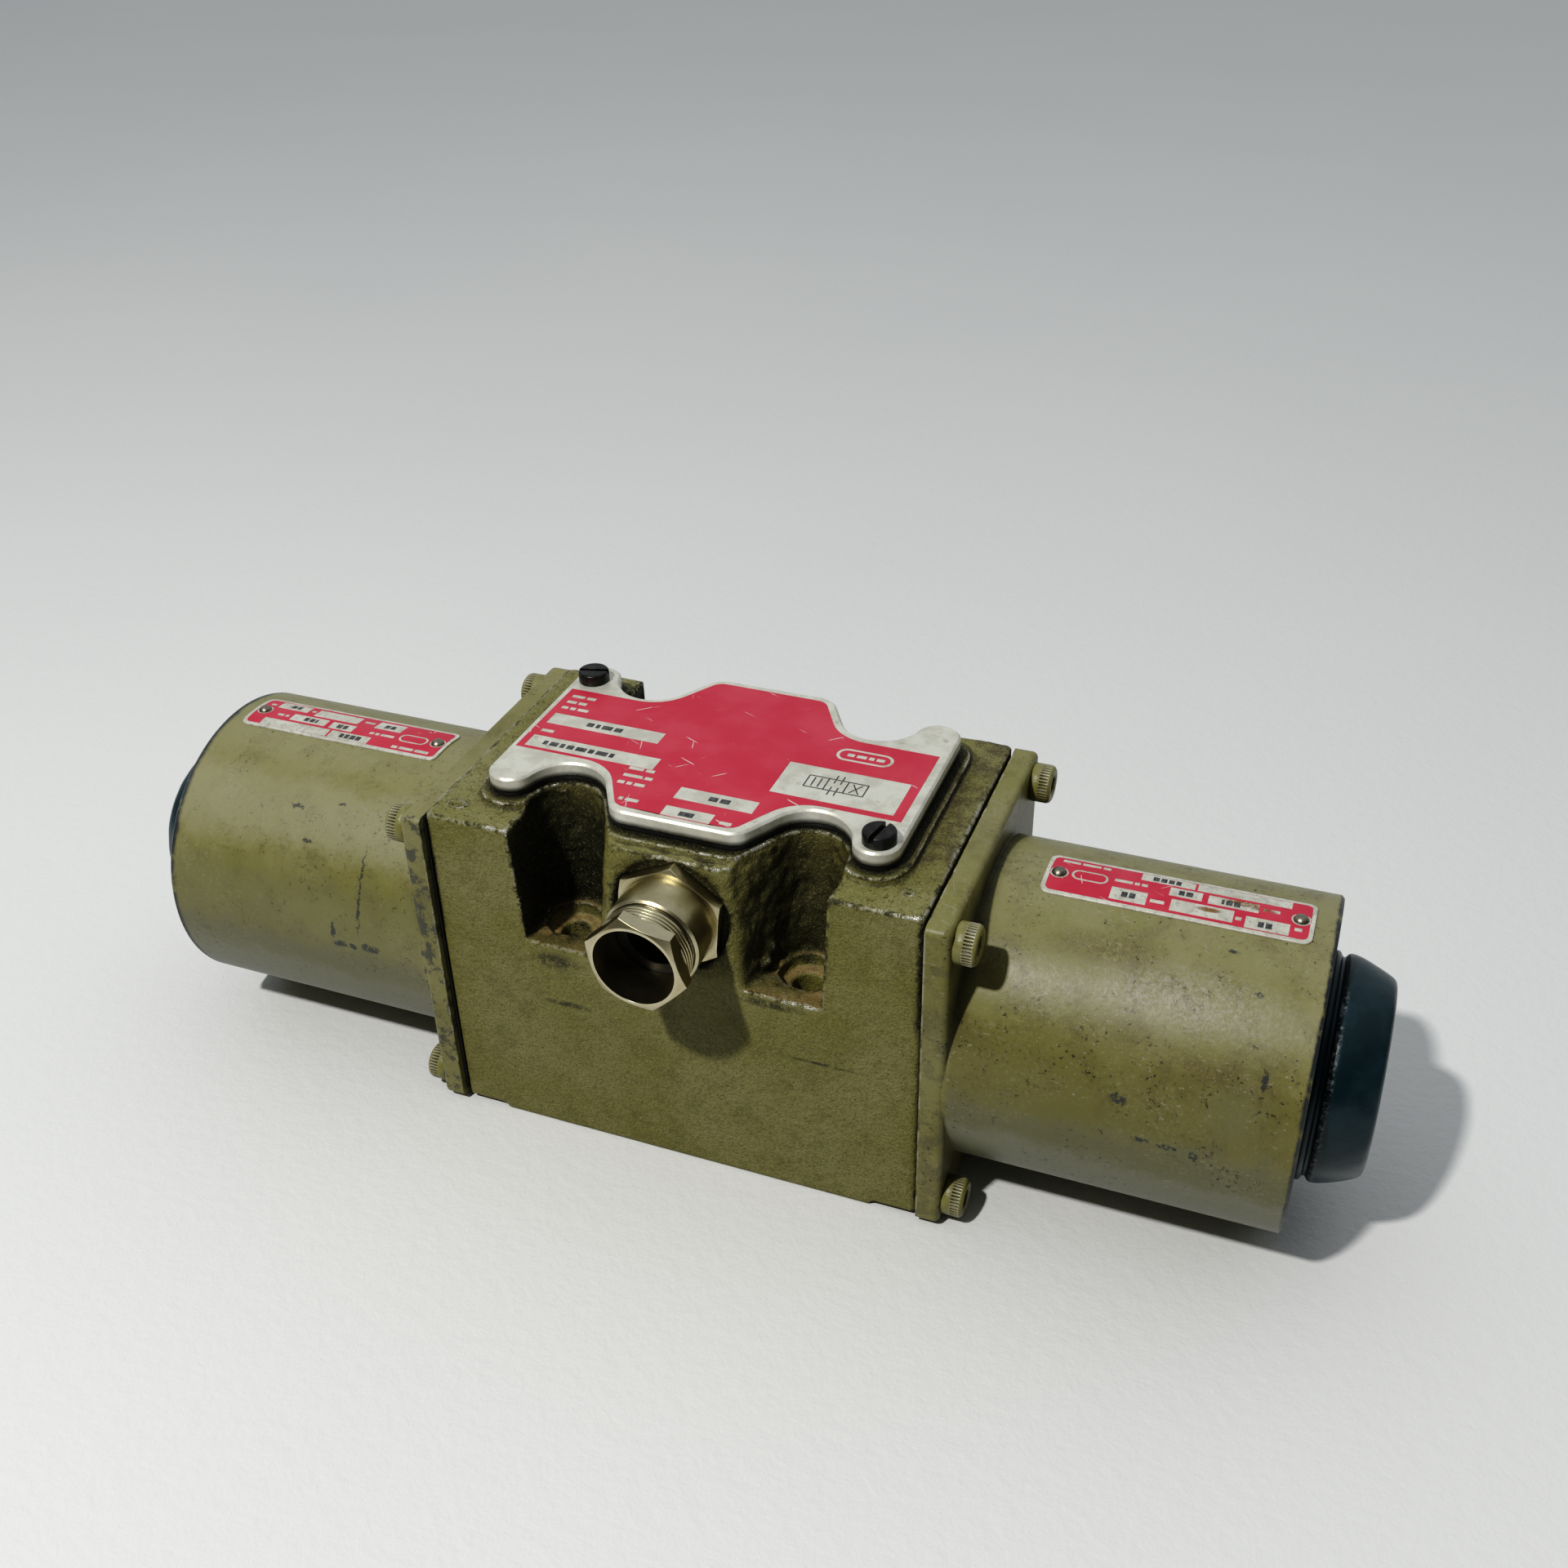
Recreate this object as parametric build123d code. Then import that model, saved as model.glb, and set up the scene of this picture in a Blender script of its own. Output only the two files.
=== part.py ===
from build123d import *
from math import cos, hypot, radians, sin, tan
import os

# Double-solenoid, spring-centred directional control valve, size 10, on the
# ISO 4401-05 mounting pattern. +X runs along the spool towards solenoid b,
# -Y is the cable gland side, +Z is up from the mounting face. Millimetres.

os.makedirs("parts", exist_ok=True)

# ---- mounting pattern (ISO 4401-05) --------------------------------------
BOLT_X, BOLT_Y = 27.0, 23.0
BOLT_R = 3.3
SPOTFACE_R, SPOTFACE_DEPTH = 5.8, 3.0
PORT_R = 5.25
PORTS = {"P": (0.0, -16.7), "A": (-10.3, -1.6), "B": (10.3, -1.6), "T": (-23.8, 9.5), "T1": (23.8, 9.5)}
SEAL_SEAT_R, SEAL_SEAT_DEPTH = 8.2, 1.7
SEAL_WIRE_R = 0.85

# ---- valve body ----------------------------------------------------------
BODY_X, BODY_Y, BODY_Z = 54.5, 33.5, 80.0
AXIS_Z = 38.0
CAST_Y = 1.4
RECESS_FLOOR = 52.0
FOOT_RELIEF_X, FOOT_RELIEF = 10.0, 1.2
PAD_TOP = 81.5
PAD_GROW = 2.2
BORE_R = 8.0
GALLERY_R = 12.0
CHAMBER_R, CHAMBER_X = 14.0, 34.5
GALLERIES = [(-24.5, 7.0), (-12.0, 6.0), (0.0, 7.0), (12.0, 6.0), (24.5, 7.0)]

# ---- cover ---------------------------------------------------------------
COVER_X = 45.5
TONGUE_Y = 28.5
TONGUE_CORNER_R = 5.0
SCALLOP = (27.0, 23.75)
NOSE, NOSE_R = (40.5, 20.6), 5.0
GASKET_TOP = 83.0
COVER_TOP = 86.0
COVER_SCREWS = [(-41.0, 20.4, 15.0), (41.0, -19.6, 78.0)]
CAVITY_FLOOR = 57.0

# ---- fasteners: M4 in the cover, M5 in the flanges -----------------------
M4_R, M4_HOLE_R, M4_CLEAR_R, M4_HEAD_R, M4_HEAD = 1.95, 2.0, 2.2, 3.5, 2.6
M5_R, M5_HOLE_R, M5_CLEAR_R, M5_HEAD_R, M5_HEAD = 2.45, 2.5, 2.75, 4.25, 4.6

# ---- cable gland ---------------------------------------------------------
GLAND_X, GLAND_Z = 0.8, 66.6
GLAND_FACE_Y = -31.0
GLAND_BACK_Y, GLAND_LEDGE_Y = -22.5, -37.0
GLAND_R, GLAND_SEAT_R, GLAND_THROAT_R = 10.45, 9.65, 7.2
GLAND_LENGTH, GLAND_NUT_END = 11.4, 19.2
GLAND_HEX, GLAND_HEX_T, GLAND_HEX_FACE_R, GLAND_HEX_TURN = 22.0, 3.0, 11.6, 25
NUT_BORE_R, NUT_THREAD_R, NUT_NECK_R, NUT_LIP_R = 8.8, 9.6, 9.35, 9.9
NUT_INNER_Y, NUT_GAP, NUT_HEX_T = -40.1, 0.9, 3.6
NUT_GROOVES, NUT_GROOVE_DEPTH = (0.8, 1.7, 2.6), 0.3
NUT_HEX, NUT_HEX_FACE_R, NUT_HEX_TURN = 19.4, 9.4, 45
CABLE_R, GLAND_SEAL_T = 5.5, 3.0

# ---- terminal compartment ------------------------------------------------
CAVITY_X, CAVITY_Y = 29.0, 8.5
CAVITY_TONGUE_X, CAVITY_TONGUE_Y = 10.5, 24.4
LEAD_Z, LEAD_R, LEAD_HOLE_R, LEAD_Y = 66.0, 0.9, 3.0, 1.4
BLOCK_X, BLOCK_Y, BLOCK_TOP = 18.0, 8.0, 70.0
TERMINALS, TERMINAL_PITCH = 4, 8.0
TERMINAL_R, TERMINAL_SHANK_R = 2.3, 1.2

# ---- spool and centring --------------------------------------------------
STROKE = 3.5
RUN, PRESS, FIT = 0.03, 0.02, 0.05
SPOOL_R, SPOOL_ROOT_R, SPOOL_X = BORE_R - RUN, 5.0, 38.0
SPOOL_WAIST = 7.5
LAND_X, OUTER_LAND_X = 16.5, 30.0
LAND_GROOVES = (9.5, 12.0, 14.5)
NECK_R, NECK_X = 4.0, 41.0
PLATE_X = (CHAMBER_X + STROKE + 0.1, CHAMBER_X + STROKE + 2.1)
PLATE_R = 12.8
SPRING_R, SPRING_WIRE_R, SPRING_TURNS = 10.6, 0.9, 4.5

# ---- solenoids (side b; side a is its mirror image) ----------------------
FACE_X = 55.0
FLANGE_Y, FLANGE_Z0, FLANGE_Z1, FLANGE_T = 35.0, 1.0, 79.0, 5.2
FLANGE_CORNER_R, FLANGE_EDGE_R = 1.6, 1.4
SCREW_Y, SCREW_Z = 30.0, (5.8, 73.8)
COIL_R, SHELL_R = 34.8, 31.0
FRONT_X, END_X = 63.0, 128.2
POLE_R, POLE_X = 13.0, 84.0
POLE_HEAD_R, POLE_HEAD_X = 18.0, 57.5
POLE_SEAL_R, POLE_SEAL_WIRE_R = 16.2, 1.1
TUBE_OUT_R, TUBE_IN_R = 13.0, 11.9
TUBE_X, PLUG_X = (80.0, 124.0), (120.2, 130.2)
ARMATURE_R, ARMATURE_X = 11.85, (88.0, 116.0)
ARMATURE_SLOT_R, ARMATURE_SLOT_H = 1.6, 1.5
ROD_R, PIN_R = 2.5, 2.0
PIN_DEPTH, PIN_END_X = 6.0, 134.5
BOBBIN_X, BOBBIN_WALL, BOBBIN_CORE_R = (63.2, 121.3), 1.8, 14.6
WINDING_R = 29.0
END_PLATE_X, END_PLATE_STEP_X = 121.5, 127.8
BOOT_R, BOOT_NOSE_R, BOOT_X, BOOT_WALL = 23.5, 18.6, 141.6, 2.0
BOSS_R, BOSS_X, BOSS_GROOVE_X = 20.0, 133.0, (129.0, 130.4)
LABEL_X, LABEL_LENGTH, LABEL_WIDTH, LABEL_T = 97.0, 53.0, 13.0, 0.4
LABEL_TILT = {"a": -2.8, "b": 0.8}
RIVET_X, RIVET_R, RIVET_DOME_R = 23.8, 0.95, 1.7


def box(x0, x1, y0, y1, z0, z1):
    centre = Pos((x0 + x1) / 2, (y0 + y1) / 2, (z0 + z1) / 2)
    return centre * Box(x1 - x0, y1 - y0, z1 - z0)


def rod_x(r, x0, x1, y=0.0, z=AXIS_Z):
    return Pos((x0 + x1) / 2, y, z) * Rot(0, 90, 0) * Cylinder(r, x1 - x0)


def rod_y(r, y0, y1, x=GLAND_X, z=GLAND_Z):
    return Pos(x, (y0 + y1) / 2, z) * Rot(90, 0, 0) * Cylinder(r, y1 - y0)


def rod_z(r, z0, z1, x, y):
    return Pos(x, y, (z0 + z1) / 2) * Cylinder(r, z1 - z0)


def ring_x(outer, inner, x0, x1):
    return rod_x(outer, x0, x1) - rod_x(inner, x0 - 1, x1 + 1)


def turned_x(profile):
    """Revolve an (x, radius) outline about the spool axis."""
    points = [(x, 0, AXIS_Z + r) for x, r in profile]
    face = make_face(Polyline(*points, close=True))
    return revolve(face, Axis((0, 0, AXIS_Z), (1, 0, 0)))


def turned_y(profile):
    """Revolve a (y, radius) outline about the gland axis."""
    points = [(GLAND_X, y, GLAND_Z + r) for y, r in profile]
    face = make_face(Polyline(*points, close=True))
    return revolve(face, Axis((GLAND_X, 0, GLAND_Z), (0, 1, 0)))


def hexagon_y(across_flats, y0, y1, chamfer_r=None, turn=0.0):
    """Hexagonal prism on the gland axis, its front corners turned off to chamfer_r."""
    section = RegularPolygon(across_flats / 2, 6, major_radius=False, rotation=turn)
    prism = Pos(GLAND_X, y1, GLAND_Z) * Rot(90, 0, 0) * extrude(section, y1 - y0)
    if chamfer_r:
        corner = across_flats / 2 / cos(radians(30)) + 0.2
        drop = (corner - chamfer_r) * tan(radians(30))
        prism &= turned_y([(y0, 0), (y0, chamfer_r), (y0 + drop, corner), (y1, corner), (y1, 0)])
    return prism


def cap_screw_x(y, z, x0, x_head):
    """Socket head cap screw along X with its head on the +X side."""
    head = turned_x([(x_head, 0), (x_head, M5_HEAD_R), (x_head + M5_HEAD - 0.5, M5_HEAD_R),
                     (x_head + M5_HEAD, M5_HEAD_R - 0.5), (x_head + M5_HEAD, 0)])
    socket = RegularPolygon(2.0, 6, major_radius=False)
    socket = Pos(x_head + M5_HEAD, 0, AXIS_Z) * Rot(0, 90, 0) * extrude(socket, -2.6)
    screw = head - socket + rod_x(M5_R, x0, x_head)
    return Pos(0, y, z - AXIS_Z) * screw


def cover_face():
    """Plan of the cover plate about its own centre: two lobed ends and a tongue each way."""
    reach = hypot(NOSE[0] - SCALLOP[0], NOSE[1] - SCALLOP[1])
    r = reach - NOSE_R
    join = (SCALLOP[0] + (NOSE[0] - SCALLOP[0]) * r / reach, SCALLOP[1] + (NOSE[1] - SCALLOP[1]) * r / reach)
    foot = (SCALLOP[0] - r * cos(radians(30)), SCALLOP[1] - r * sin(radians(30)))
    corner_x = foot[0] - (TONGUE_Y - foot[1]) * tan(radians(30))
    cut = TONGUE_CORNER_R * tan(radians(30))
    flat = (corner_x - cut, TONGUE_Y)
    slant = (corner_x + cut * 0.5, TONGUE_Y - cut * cos(radians(30)))
    bulge = TONGUE_CORNER_R * sin(radians(30))
    middle = (flat[0] + bulge, TONGUE_Y - TONGUE_CORNER_R * (1 - cos(radians(30))))
    top = (NOSE[0] + NOSE_R * cos(radians(80)), NOSE[1] + NOSE_R * sin(radians(80)))
    quarter = Line((0, TONGUE_Y), flat) + ThreePointArc(flat, middle, slant) + Line(slant, foot)
    quarter += ThreePointArc(foot, (SCALLOP[0], SCALLOP[1] - r), join)
    quarter += ThreePointArc(join, top, (COVER_X, NOSE[1]))
    quarter += Line((COVER_X, NOSE[1]), (COVER_X, 0))
    half = quarter + mirror(quarter, about=Plane.YZ)
    return make_face(half + mirror(half, about=Plane.XZ))


def recess_face(arc_r, arc_end, front_y, corner_r):
    """Plan of the recess round the two front bolts and across the bulge between them."""
    cx, cy = SCALLOP[0], CAST_Y - SCALLOP[1]
    edge_y = -BODY_Y - 3
    a = radians(arc_end)
    start = (cx + arc_r * cos(a), cy + arc_r * sin(a))
    top = (cx + arc_r * cos(a / 2), cy + arc_r * sin(a / 2))
    along = (-sin(a), cos(a))
    corner_x = start[0] + (front_y - start[1]) / along[1] * along[0]
    cut = corner_r * tan((a - radians(90)) / 2)
    near = (corner_x - along[0] * cut, front_y - along[1] * cut)
    far = (corner_x - cut, front_y)
    m = (a - radians(270)) / 2
    middle = (far[0] + corner_r * cos(m), front_y + corner_r + corner_r * sin(m))
    side = Line((0, edge_y), (cx + arc_r, edge_y)) + Line((cx + arc_r, edge_y), (cx + arc_r, cy))
    side += ThreePointArc((cx + arc_r, cy), top, start)
    side += Line(start, near) + ThreePointArc(near, middle, far) + Line(far, (0, front_y))
    return make_face(side + mirror(side, about=Plane.YZ))


def helix_spring(x0, x1):
    """Compression spring on the spool axis with its end coils closed."""
    r = SPRING_WIRE_R
    pitch = (x1 - x0 - 2 * r) / SPRING_TURNS
    path = Helix(pitch, x1 - x0 - 2 * r, SPRING_R, center=(0, 0, 0), direction=(0, 0, 1))
    wire = sweep(Plane(path @ 0, z_dir=path % 0) * Circle(r), path=path, is_frenet=True)
    return Pos(x0 + r, 0, AXIS_Z) * Rot(0, 90, 0) * wire


# ---- valve body ----------------------------------------------------------
def make_body():
    cover = cover_face()
    body = box(-BODY_X, BODY_X, -BODY_Y, BODY_Y, 0, BODY_Z)
    body += Pos(0, CAST_Y, BODY_Z) * extrude(offset(cover, PAD_GROW), PAD_TOP - BODY_Z)
    low = Pos(0, 0, RECESS_FLOOR) * recess_face(6.5, 162, -BODY_Y - 0.1, 3.0)
    high = Pos(0, 0, 82) * recess_face(8.2, 150, GLAND_FACE_Y, 4.0)
    recess = loft([low, high])
    body -= recess
    body -= Pos(0, 2 * CAST_Y, 0) * mirror(recess, about=Plane.XZ)
    for x in (-BODY_X, BODY_X - FOOT_RELIEF_X):
        body -= box(x, x + FOOT_RELIEF_X, -BODY_Y, BODY_Y, 0, FOOT_RELIEF)
    body = chamfer(body.edges().filter_by(Axis.Z).filter_by_position(Axis.X, -55, -54), 0.8)
    body = chamfer(body.edges().filter_by(Axis.Z).filter_by_position(Axis.X, 54, 55), 0.8)

    # terminal compartment, gland seat and lead channels
    body -= box(-CAVITY_X, CAVITY_X, CAST_Y - CAVITY_Y, CAST_Y + CAVITY_Y, CAVITY_FLOOR, 90)
    tongue = CAVITY_TONGUE_Y
    body -= box(-CAVITY_TONGUE_X, CAVITY_TONGUE_X, CAST_Y - tongue, CAST_Y + tongue, CAVITY_FLOOR, 90)
    body -= rod_y(12.8, GLAND_FACE_Y - 5, GLAND_FACE_Y)
    body -= rod_y(GLAND_SEAT_R, GLAND_FACE_Y - 1, GLAND_BACK_Y + 0.5)
    body -= rod_x(LEAD_HOLE_R, -60, 60, z=LEAD_Z)

    # spool bore, galleries and spring chambers
    body -= rod_x(BORE_R, -60, 60)
    for x, width in GALLERIES:
        body -= rod_x(GALLERY_R, x - width / 2, x + width / 2)
    body -= rod_x(CHAMBER_R, CHAMBER_X, 60)
    body -= rod_x(CHAMBER_R, -60, -CHAMBER_X)

    # ports, seal seats and the passage from port P
    for x, y in PORTS.values():
        top = AXIS_Z if y < -10 else AXIS_Z - BORE_R - 0.5
        body -= rod_z(PORT_R, -1, top, x, y)
        body -= rod_z(SEAL_SEAT_R, -1, SEAL_SEAT_DEPTH, x, y)
    body -= rod_y(3.4, -18, 0, x=0, z=AXIS_Z - 2)

    # mounting bolts, cover screws and solenoid screws
    for x in (-BOLT_X, BOLT_X):
        for y in (-BOLT_Y, BOLT_Y):
            body -= rod_z(BOLT_R, -1, 60, x, y)
            body -= rod_z(SPOTFACE_R, RECESS_FLOOR - SPOTFACE_DEPTH, 60, x, y)
    for x, y, _ in COVER_SCREWS:
        body -= rod_z(M4_HOLE_R, 70, 90, x, y)
    for side in (-1, 1):
        for y in (-SCREW_Y, SCREW_Y):
            for z in SCREW_Z:
                body -= rod_x(M5_HOLE_R, min(side * 42, side * 60), max(side * 42, side * 60), y, z)
        groove = ring_x(POLE_SEAL_R + 1.2, POLE_SEAL_R - 1.2, FACE_X - 2.3, 56)
        body -= groove if side > 0 else mirror(groove, about=Plane.YZ)
    return body


body = make_body()

seals = Part()
for px, py in PORTS.values():
    seals += Pos(px, py, SEAL_WIRE_R) * Torus(7.0, SEAL_WIRE_R)

# ---- cover, gasket and screws --------------------------------------------
window = box(-CAVITY_X - 1, CAVITY_X + 1, -CAVITY_Y - 1, CAVITY_Y + 1, 80, 90)
window += box(-CAVITY_TONGUE_X - 1, CAVITY_TONGUE_X + 1, 0.9 - CAVITY_TONGUE_Y, CAVITY_TONGUE_Y - 0.9, 80, 90)
gasket = Pos(0, 0, PAD_TOP) * extrude(offset(cover_face(), -0.4), GASKET_TOP - PAD_TOP) - window
gasket = Pos(0, CAST_Y, 0) * gasket
cover = Pos(0, CAST_Y, GASKET_TOP) * extrude(cover_face(), COVER_TOP - GASKET_TOP)
cover = chamfer(cover.edges().group_by(Axis.Z)[-1], 0.5)
cover_screws = Part()
for sx, sy, turn in COVER_SCREWS:
    gasket -= rod_z(M4_CLEAR_R, 80, 90, sx, sy)
    cover -= rod_z(M4_CLEAR_R, 80, 90, sx, sy)
    head = fillet(Cylinder(M4_HEAD_R, M4_HEAD).edges().group_by(Axis.Z)[-1], 0.5)
    head -= Pos(0, 0, M4_HEAD / 2) * Rot(0, 0, turn) * Box(10, 1.1, 2.6)
    cover_screws += Pos(sx, sy, COVER_TOP + M4_HEAD / 2) * head + rod_z(M4_R, 71, COVER_TOP, sx, sy)

# ---- cable gland ---------------------------------------------------------
gy = GLAND_FACE_Y
front = gy - GLAND_LENGTH
back = GLAND_BACK_Y
ledge = GLAND_LEDGE_Y
gland_body = turned_y([(back, GLAND_THROAT_R), (back, GLAND_SEAT_R - FIT), (gy, GLAND_SEAT_R - FIT),
                       (gy, GLAND_R), (front + 0.5, GLAND_R), (front, GLAND_R - 0.5),
                       (front, GLAND_SEAT_R), (ledge, GLAND_SEAT_R), (ledge, GLAND_THROAT_R)])
gland_hex = hexagon_y(GLAND_HEX, gy - GLAND_HEX_T, gy, GLAND_HEX_FACE_R, GLAND_HEX_TURN)
gland_body += gland_hex - rod_y(GLAND_R - 0.45, gy - 5, gy + 1)
gland_seal = turned_y([(gy - 2.2, CABLE_R), (gy - 2.2, GLAND_THROAT_R - FIT), (ledge, GLAND_THROAT_R - FIT),
                       (ledge, NUT_THREAD_R - FIT), (ledge - GLAND_SEAL_T, NUT_THREAD_R - FIT),
                       (ledge - GLAND_SEAL_T, CABLE_R + 1)])
collar = front - NUT_GAP
nut_end = gy - GLAND_NUT_END
hex_y = nut_end + NUT_HEX_T
nut_outline = [(NUT_INNER_Y, NUT_BORE_R), (NUT_INNER_Y, NUT_THREAD_R), (front - 0.2, NUT_THREAD_R),
               (front - 0.2, NUT_NECK_R), (collar, NUT_NECK_R), (collar, NUT_LIP_R)]
for along in NUT_GROOVES:
    y = collar - along
    nut_outline += [(y + 0.2, NUT_LIP_R), (y, NUT_LIP_R - NUT_GROOVE_DEPTH), (y - 0.2, NUT_LIP_R)]
nut_outline += [(hex_y, NUT_LIP_R), (hex_y, NUT_BORE_R)]
nut_hex = hexagon_y(NUT_HEX, nut_end, hex_y, NUT_HEX_FACE_R, NUT_HEX_TURN)
gland_nut = turned_y(nut_outline) + (nut_hex - rod_y(NUT_BORE_R, nut_end - 1, gy))

# ---- terminals -----------------------------------------------------------
block = box(-BLOCK_X, BLOCK_X, CAST_Y - BLOCK_Y, CAST_Y + BLOCK_Y, CAVITY_FLOOR, BLOCK_TOP)
terminal_screws = Part()
for i in range(TERMINALS):
    tx = TERMINAL_PITCH * (i - (TERMINALS - 1) / 2)
    block -= rod_z(TERMINAL_R + 0.1, BLOCK_TOP - 6, BLOCK_TOP + 2, tx, CAST_Y)
    block -= rod_z(TERMINAL_SHANK_R + FIT, BLOCK_TOP - 11, BLOCK_TOP - 4, tx, CAST_Y)
    screw = rod_z(TERMINAL_R, BLOCK_TOP - 4, BLOCK_TOP - 1.4, tx, CAST_Y)
    screw -= box(tx - 3, tx + 3, CAST_Y - 0.35, CAST_Y + 0.35, BLOCK_TOP - 2.4, BLOCK_TOP)
    terminal_screws += screw + rod_z(TERMINAL_SHANK_R, BLOCK_TOP - 10, BLOCK_TOP - 4, tx, CAST_Y)
for i in range(TERMINALS - 1):
    tx = TERMINAL_PITCH * (i - (TERMINALS - 2) / 2)
    block -= box(tx - 0.4, tx + 0.4, -20, 20, BLOCK_TOP - 2, BLOCK_TOP + 2)

# ---- spool ---------------------------------------------------------------
half = [(0, SPOOL_ROOT_R), (SPOOL_WAIST, SPOOL_ROOT_R), (SPOOL_WAIST, SPOOL_R), (LAND_X, SPOOL_R),
        (LAND_X, SPOOL_ROOT_R), (OUTER_LAND_X, SPOOL_ROOT_R), (OUTER_LAND_X, SPOOL_R),
        (SPOOL_X - 0.5, SPOOL_R), (SPOOL_X, SPOOL_R - 0.5), (SPOOL_X, NECK_R), (NECK_X, NECK_R),
        (NECK_X, 0), (0, 0)]
spool = turned_x(half)
for x in LAND_GROOVES:
    spool -= ring_x(SPOOL_R + 1, SPOOL_R - 0.5, x - 0.25, x + 0.25)
spool += mirror(spool, about=Plane.YZ)


# ---- one solenoid, built on the +X side ----------------------------------
def make_solenoid(label_tilt):
    parts = {}
    tilt = Pos(0, 0, AXIS_Z) * Rot(label_tilt, 0, 0) * Pos(0, 0, -AXIS_Z)
    middle = (FLANGE_Z0 + FLANGE_Z1) / 2
    outline = Rectangle(FLANGE_Z1 - FLANGE_Z0, 2 * FLANGE_Y)
    outline = fillet(outline.vertices(), FLANGE_CORNER_R)
    flange = Pos(FACE_X, 0, middle) * Rot(0, 90, 0) * extrude(outline, FLANGE_T)
    flange = fillet(flange.edges().group_by(Axis.X)[-1], FLANGE_EDGE_R)
    shell = rod_x(COIL_R, FACE_X + 1, END_X)
    shell = chamfer(shell.edges().group_by(Axis.X)[-1], 0.6)
    housing = flange + shell - rod_x(SHELL_R, FRONT_X, END_X + 1)
    housing -= rod_x(POLE_HEAD_R + FIT, FACE_X - 1, POLE_HEAD_X + FIT) + rod_x(POLE_R + RUN, 50, 70)
    housing -= rod_x(LEAD_HOLE_R + 0.2, 50, 70, z=LEAD_Z)
    gasket = Pos(BODY_X, 0, middle) * Rot(0, 90, 0) * extrude(offset(outline, -1.6), FACE_X - BODY_X)
    gasket -= rod_x(POLE_HEAD_R + 0.2, 50, 60) + rod_x(LEAD_HOLE_R + 0.2, 50, 60, z=LEAD_Z)
    screws = Part()
    for y in (-SCREW_Y, SCREW_Y):
        for z in SCREW_Z:
            housing -= rod_x(M5_CLEAR_R, 50, FACE_X + FLANGE_T + 0.1, y, z)
            gasket -= rod_x(M5_CLEAR_R, 50, 60, y, z)
            screws += cap_screw_x(y, z, 44, FACE_X + FLANGE_T)
    parts["solenoid_housing"] = housing
    parts["flange_gasket"] = gasket
    parts["flange_screws"] = screws

    seal_x = FACE_X - POLE_SEAL_WIRE_R - FIT
    parts["pole_seal"] = Pos(seal_x, 0, AXIS_Z) * Rot(0, 90, 0) * Torus(POLE_SEAL_R, POLE_SEAL_WIRE_R)
    t0, t1 = TUBE_X
    parts["pole_piece"] = turned_x([(FACE_X, ROD_R + RUN), (FACE_X, POLE_HEAD_R), (POLE_HEAD_X, POLE_HEAD_R),
                                    (POLE_HEAD_X, POLE_R), (t0, POLE_R), (t0, TUBE_IN_R - FIT),
                                    (POLE_X, TUBE_IN_R - FIT), (POLE_X, ROD_R + RUN)])
    parts["guide_tube"] = ring_x(TUBE_OUT_R, TUBE_IN_R, t0 + FIT, t1)
    p0, p1 = PLUG_X
    parts["tube_plug"] = turned_x([(p0, PIN_R + RUN), (p0, TUBE_IN_R - FIT), (t1 + FIT, TUBE_IN_R - FIT),
                                   (t1 + FIT, TUBE_OUT_R), (p1, TUBE_OUT_R), (p1, PIN_R + RUN)])

    a0, a1 = ARMATURE_X
    socket = a1 - PIN_DEPTH
    armature = turned_x([(a0, ROD_R + PRESS), (a0, ARMATURE_R - 1), (a0 + 1, ARMATURE_R),
                         (a1 - 1, ARMATURE_R), (a1, ARMATURE_R - 1), (a1, PIN_R + PRESS),
                         (socket, PIN_R + PRESS), (socket, ROD_R + PRESS)])
    slot, high = ARMATURE_SLOT_R, ARMATURE_SLOT_H
    for y in (-ARMATURE_R, ARMATURE_R):
        armature -= box(a0 - 1, a1 + 1, y - slot, y + slot, AXIS_Z - high, AXIS_Z + high)
    parts["armature"] = armature
    parts["push_rod"] = rod_x(ROD_R, NECK_X + FIT, socket - FIT)
    pin = rod_x(PIN_R, socket, PIN_END_X)
    parts["override_pin"] = fillet(pin.edges().group_by(Axis.X)[-1], 0.8)

    b0, b1 = BOBBIN_X
    rim, wall = SHELL_R - 0.5, BOBBIN_WALL
    bobbin = turned_x([(b0, POLE_R + 0.1), (b0, rim), (b0 + wall, rim), (b0 + wall, BOBBIN_CORE_R),
                       (b1 - wall, BOBBIN_CORE_R), (b1 - wall, rim), (b1, rim), (b1, POLE_R + 0.1)])
    bobbin -= box(60, b0 + wall + 0.5, -3.4, 3.4, AXIS_Z + 25.5, AXIS_Z + 32)
    parts["coil_bobbin"] = bobbin
    w0, w1, core = b0 + wall + 0.1, b1 - wall - 0.1, BOBBIN_CORE_R + FIT
    parts["coil_winding"] = turned_x([(w0, core), (w0, WINDING_R), (w1, WINDING_R), (w1, core)])
    leads = rod_x(LEAD_R, BLOCK_X + FIT, b0 + wall, -LEAD_Y, LEAD_Z)
    parts["coil_leads"] = leads + rod_x(LEAD_R, BLOCK_X + FIT, b0 + wall, LEAD_Y, LEAD_Z)

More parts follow.
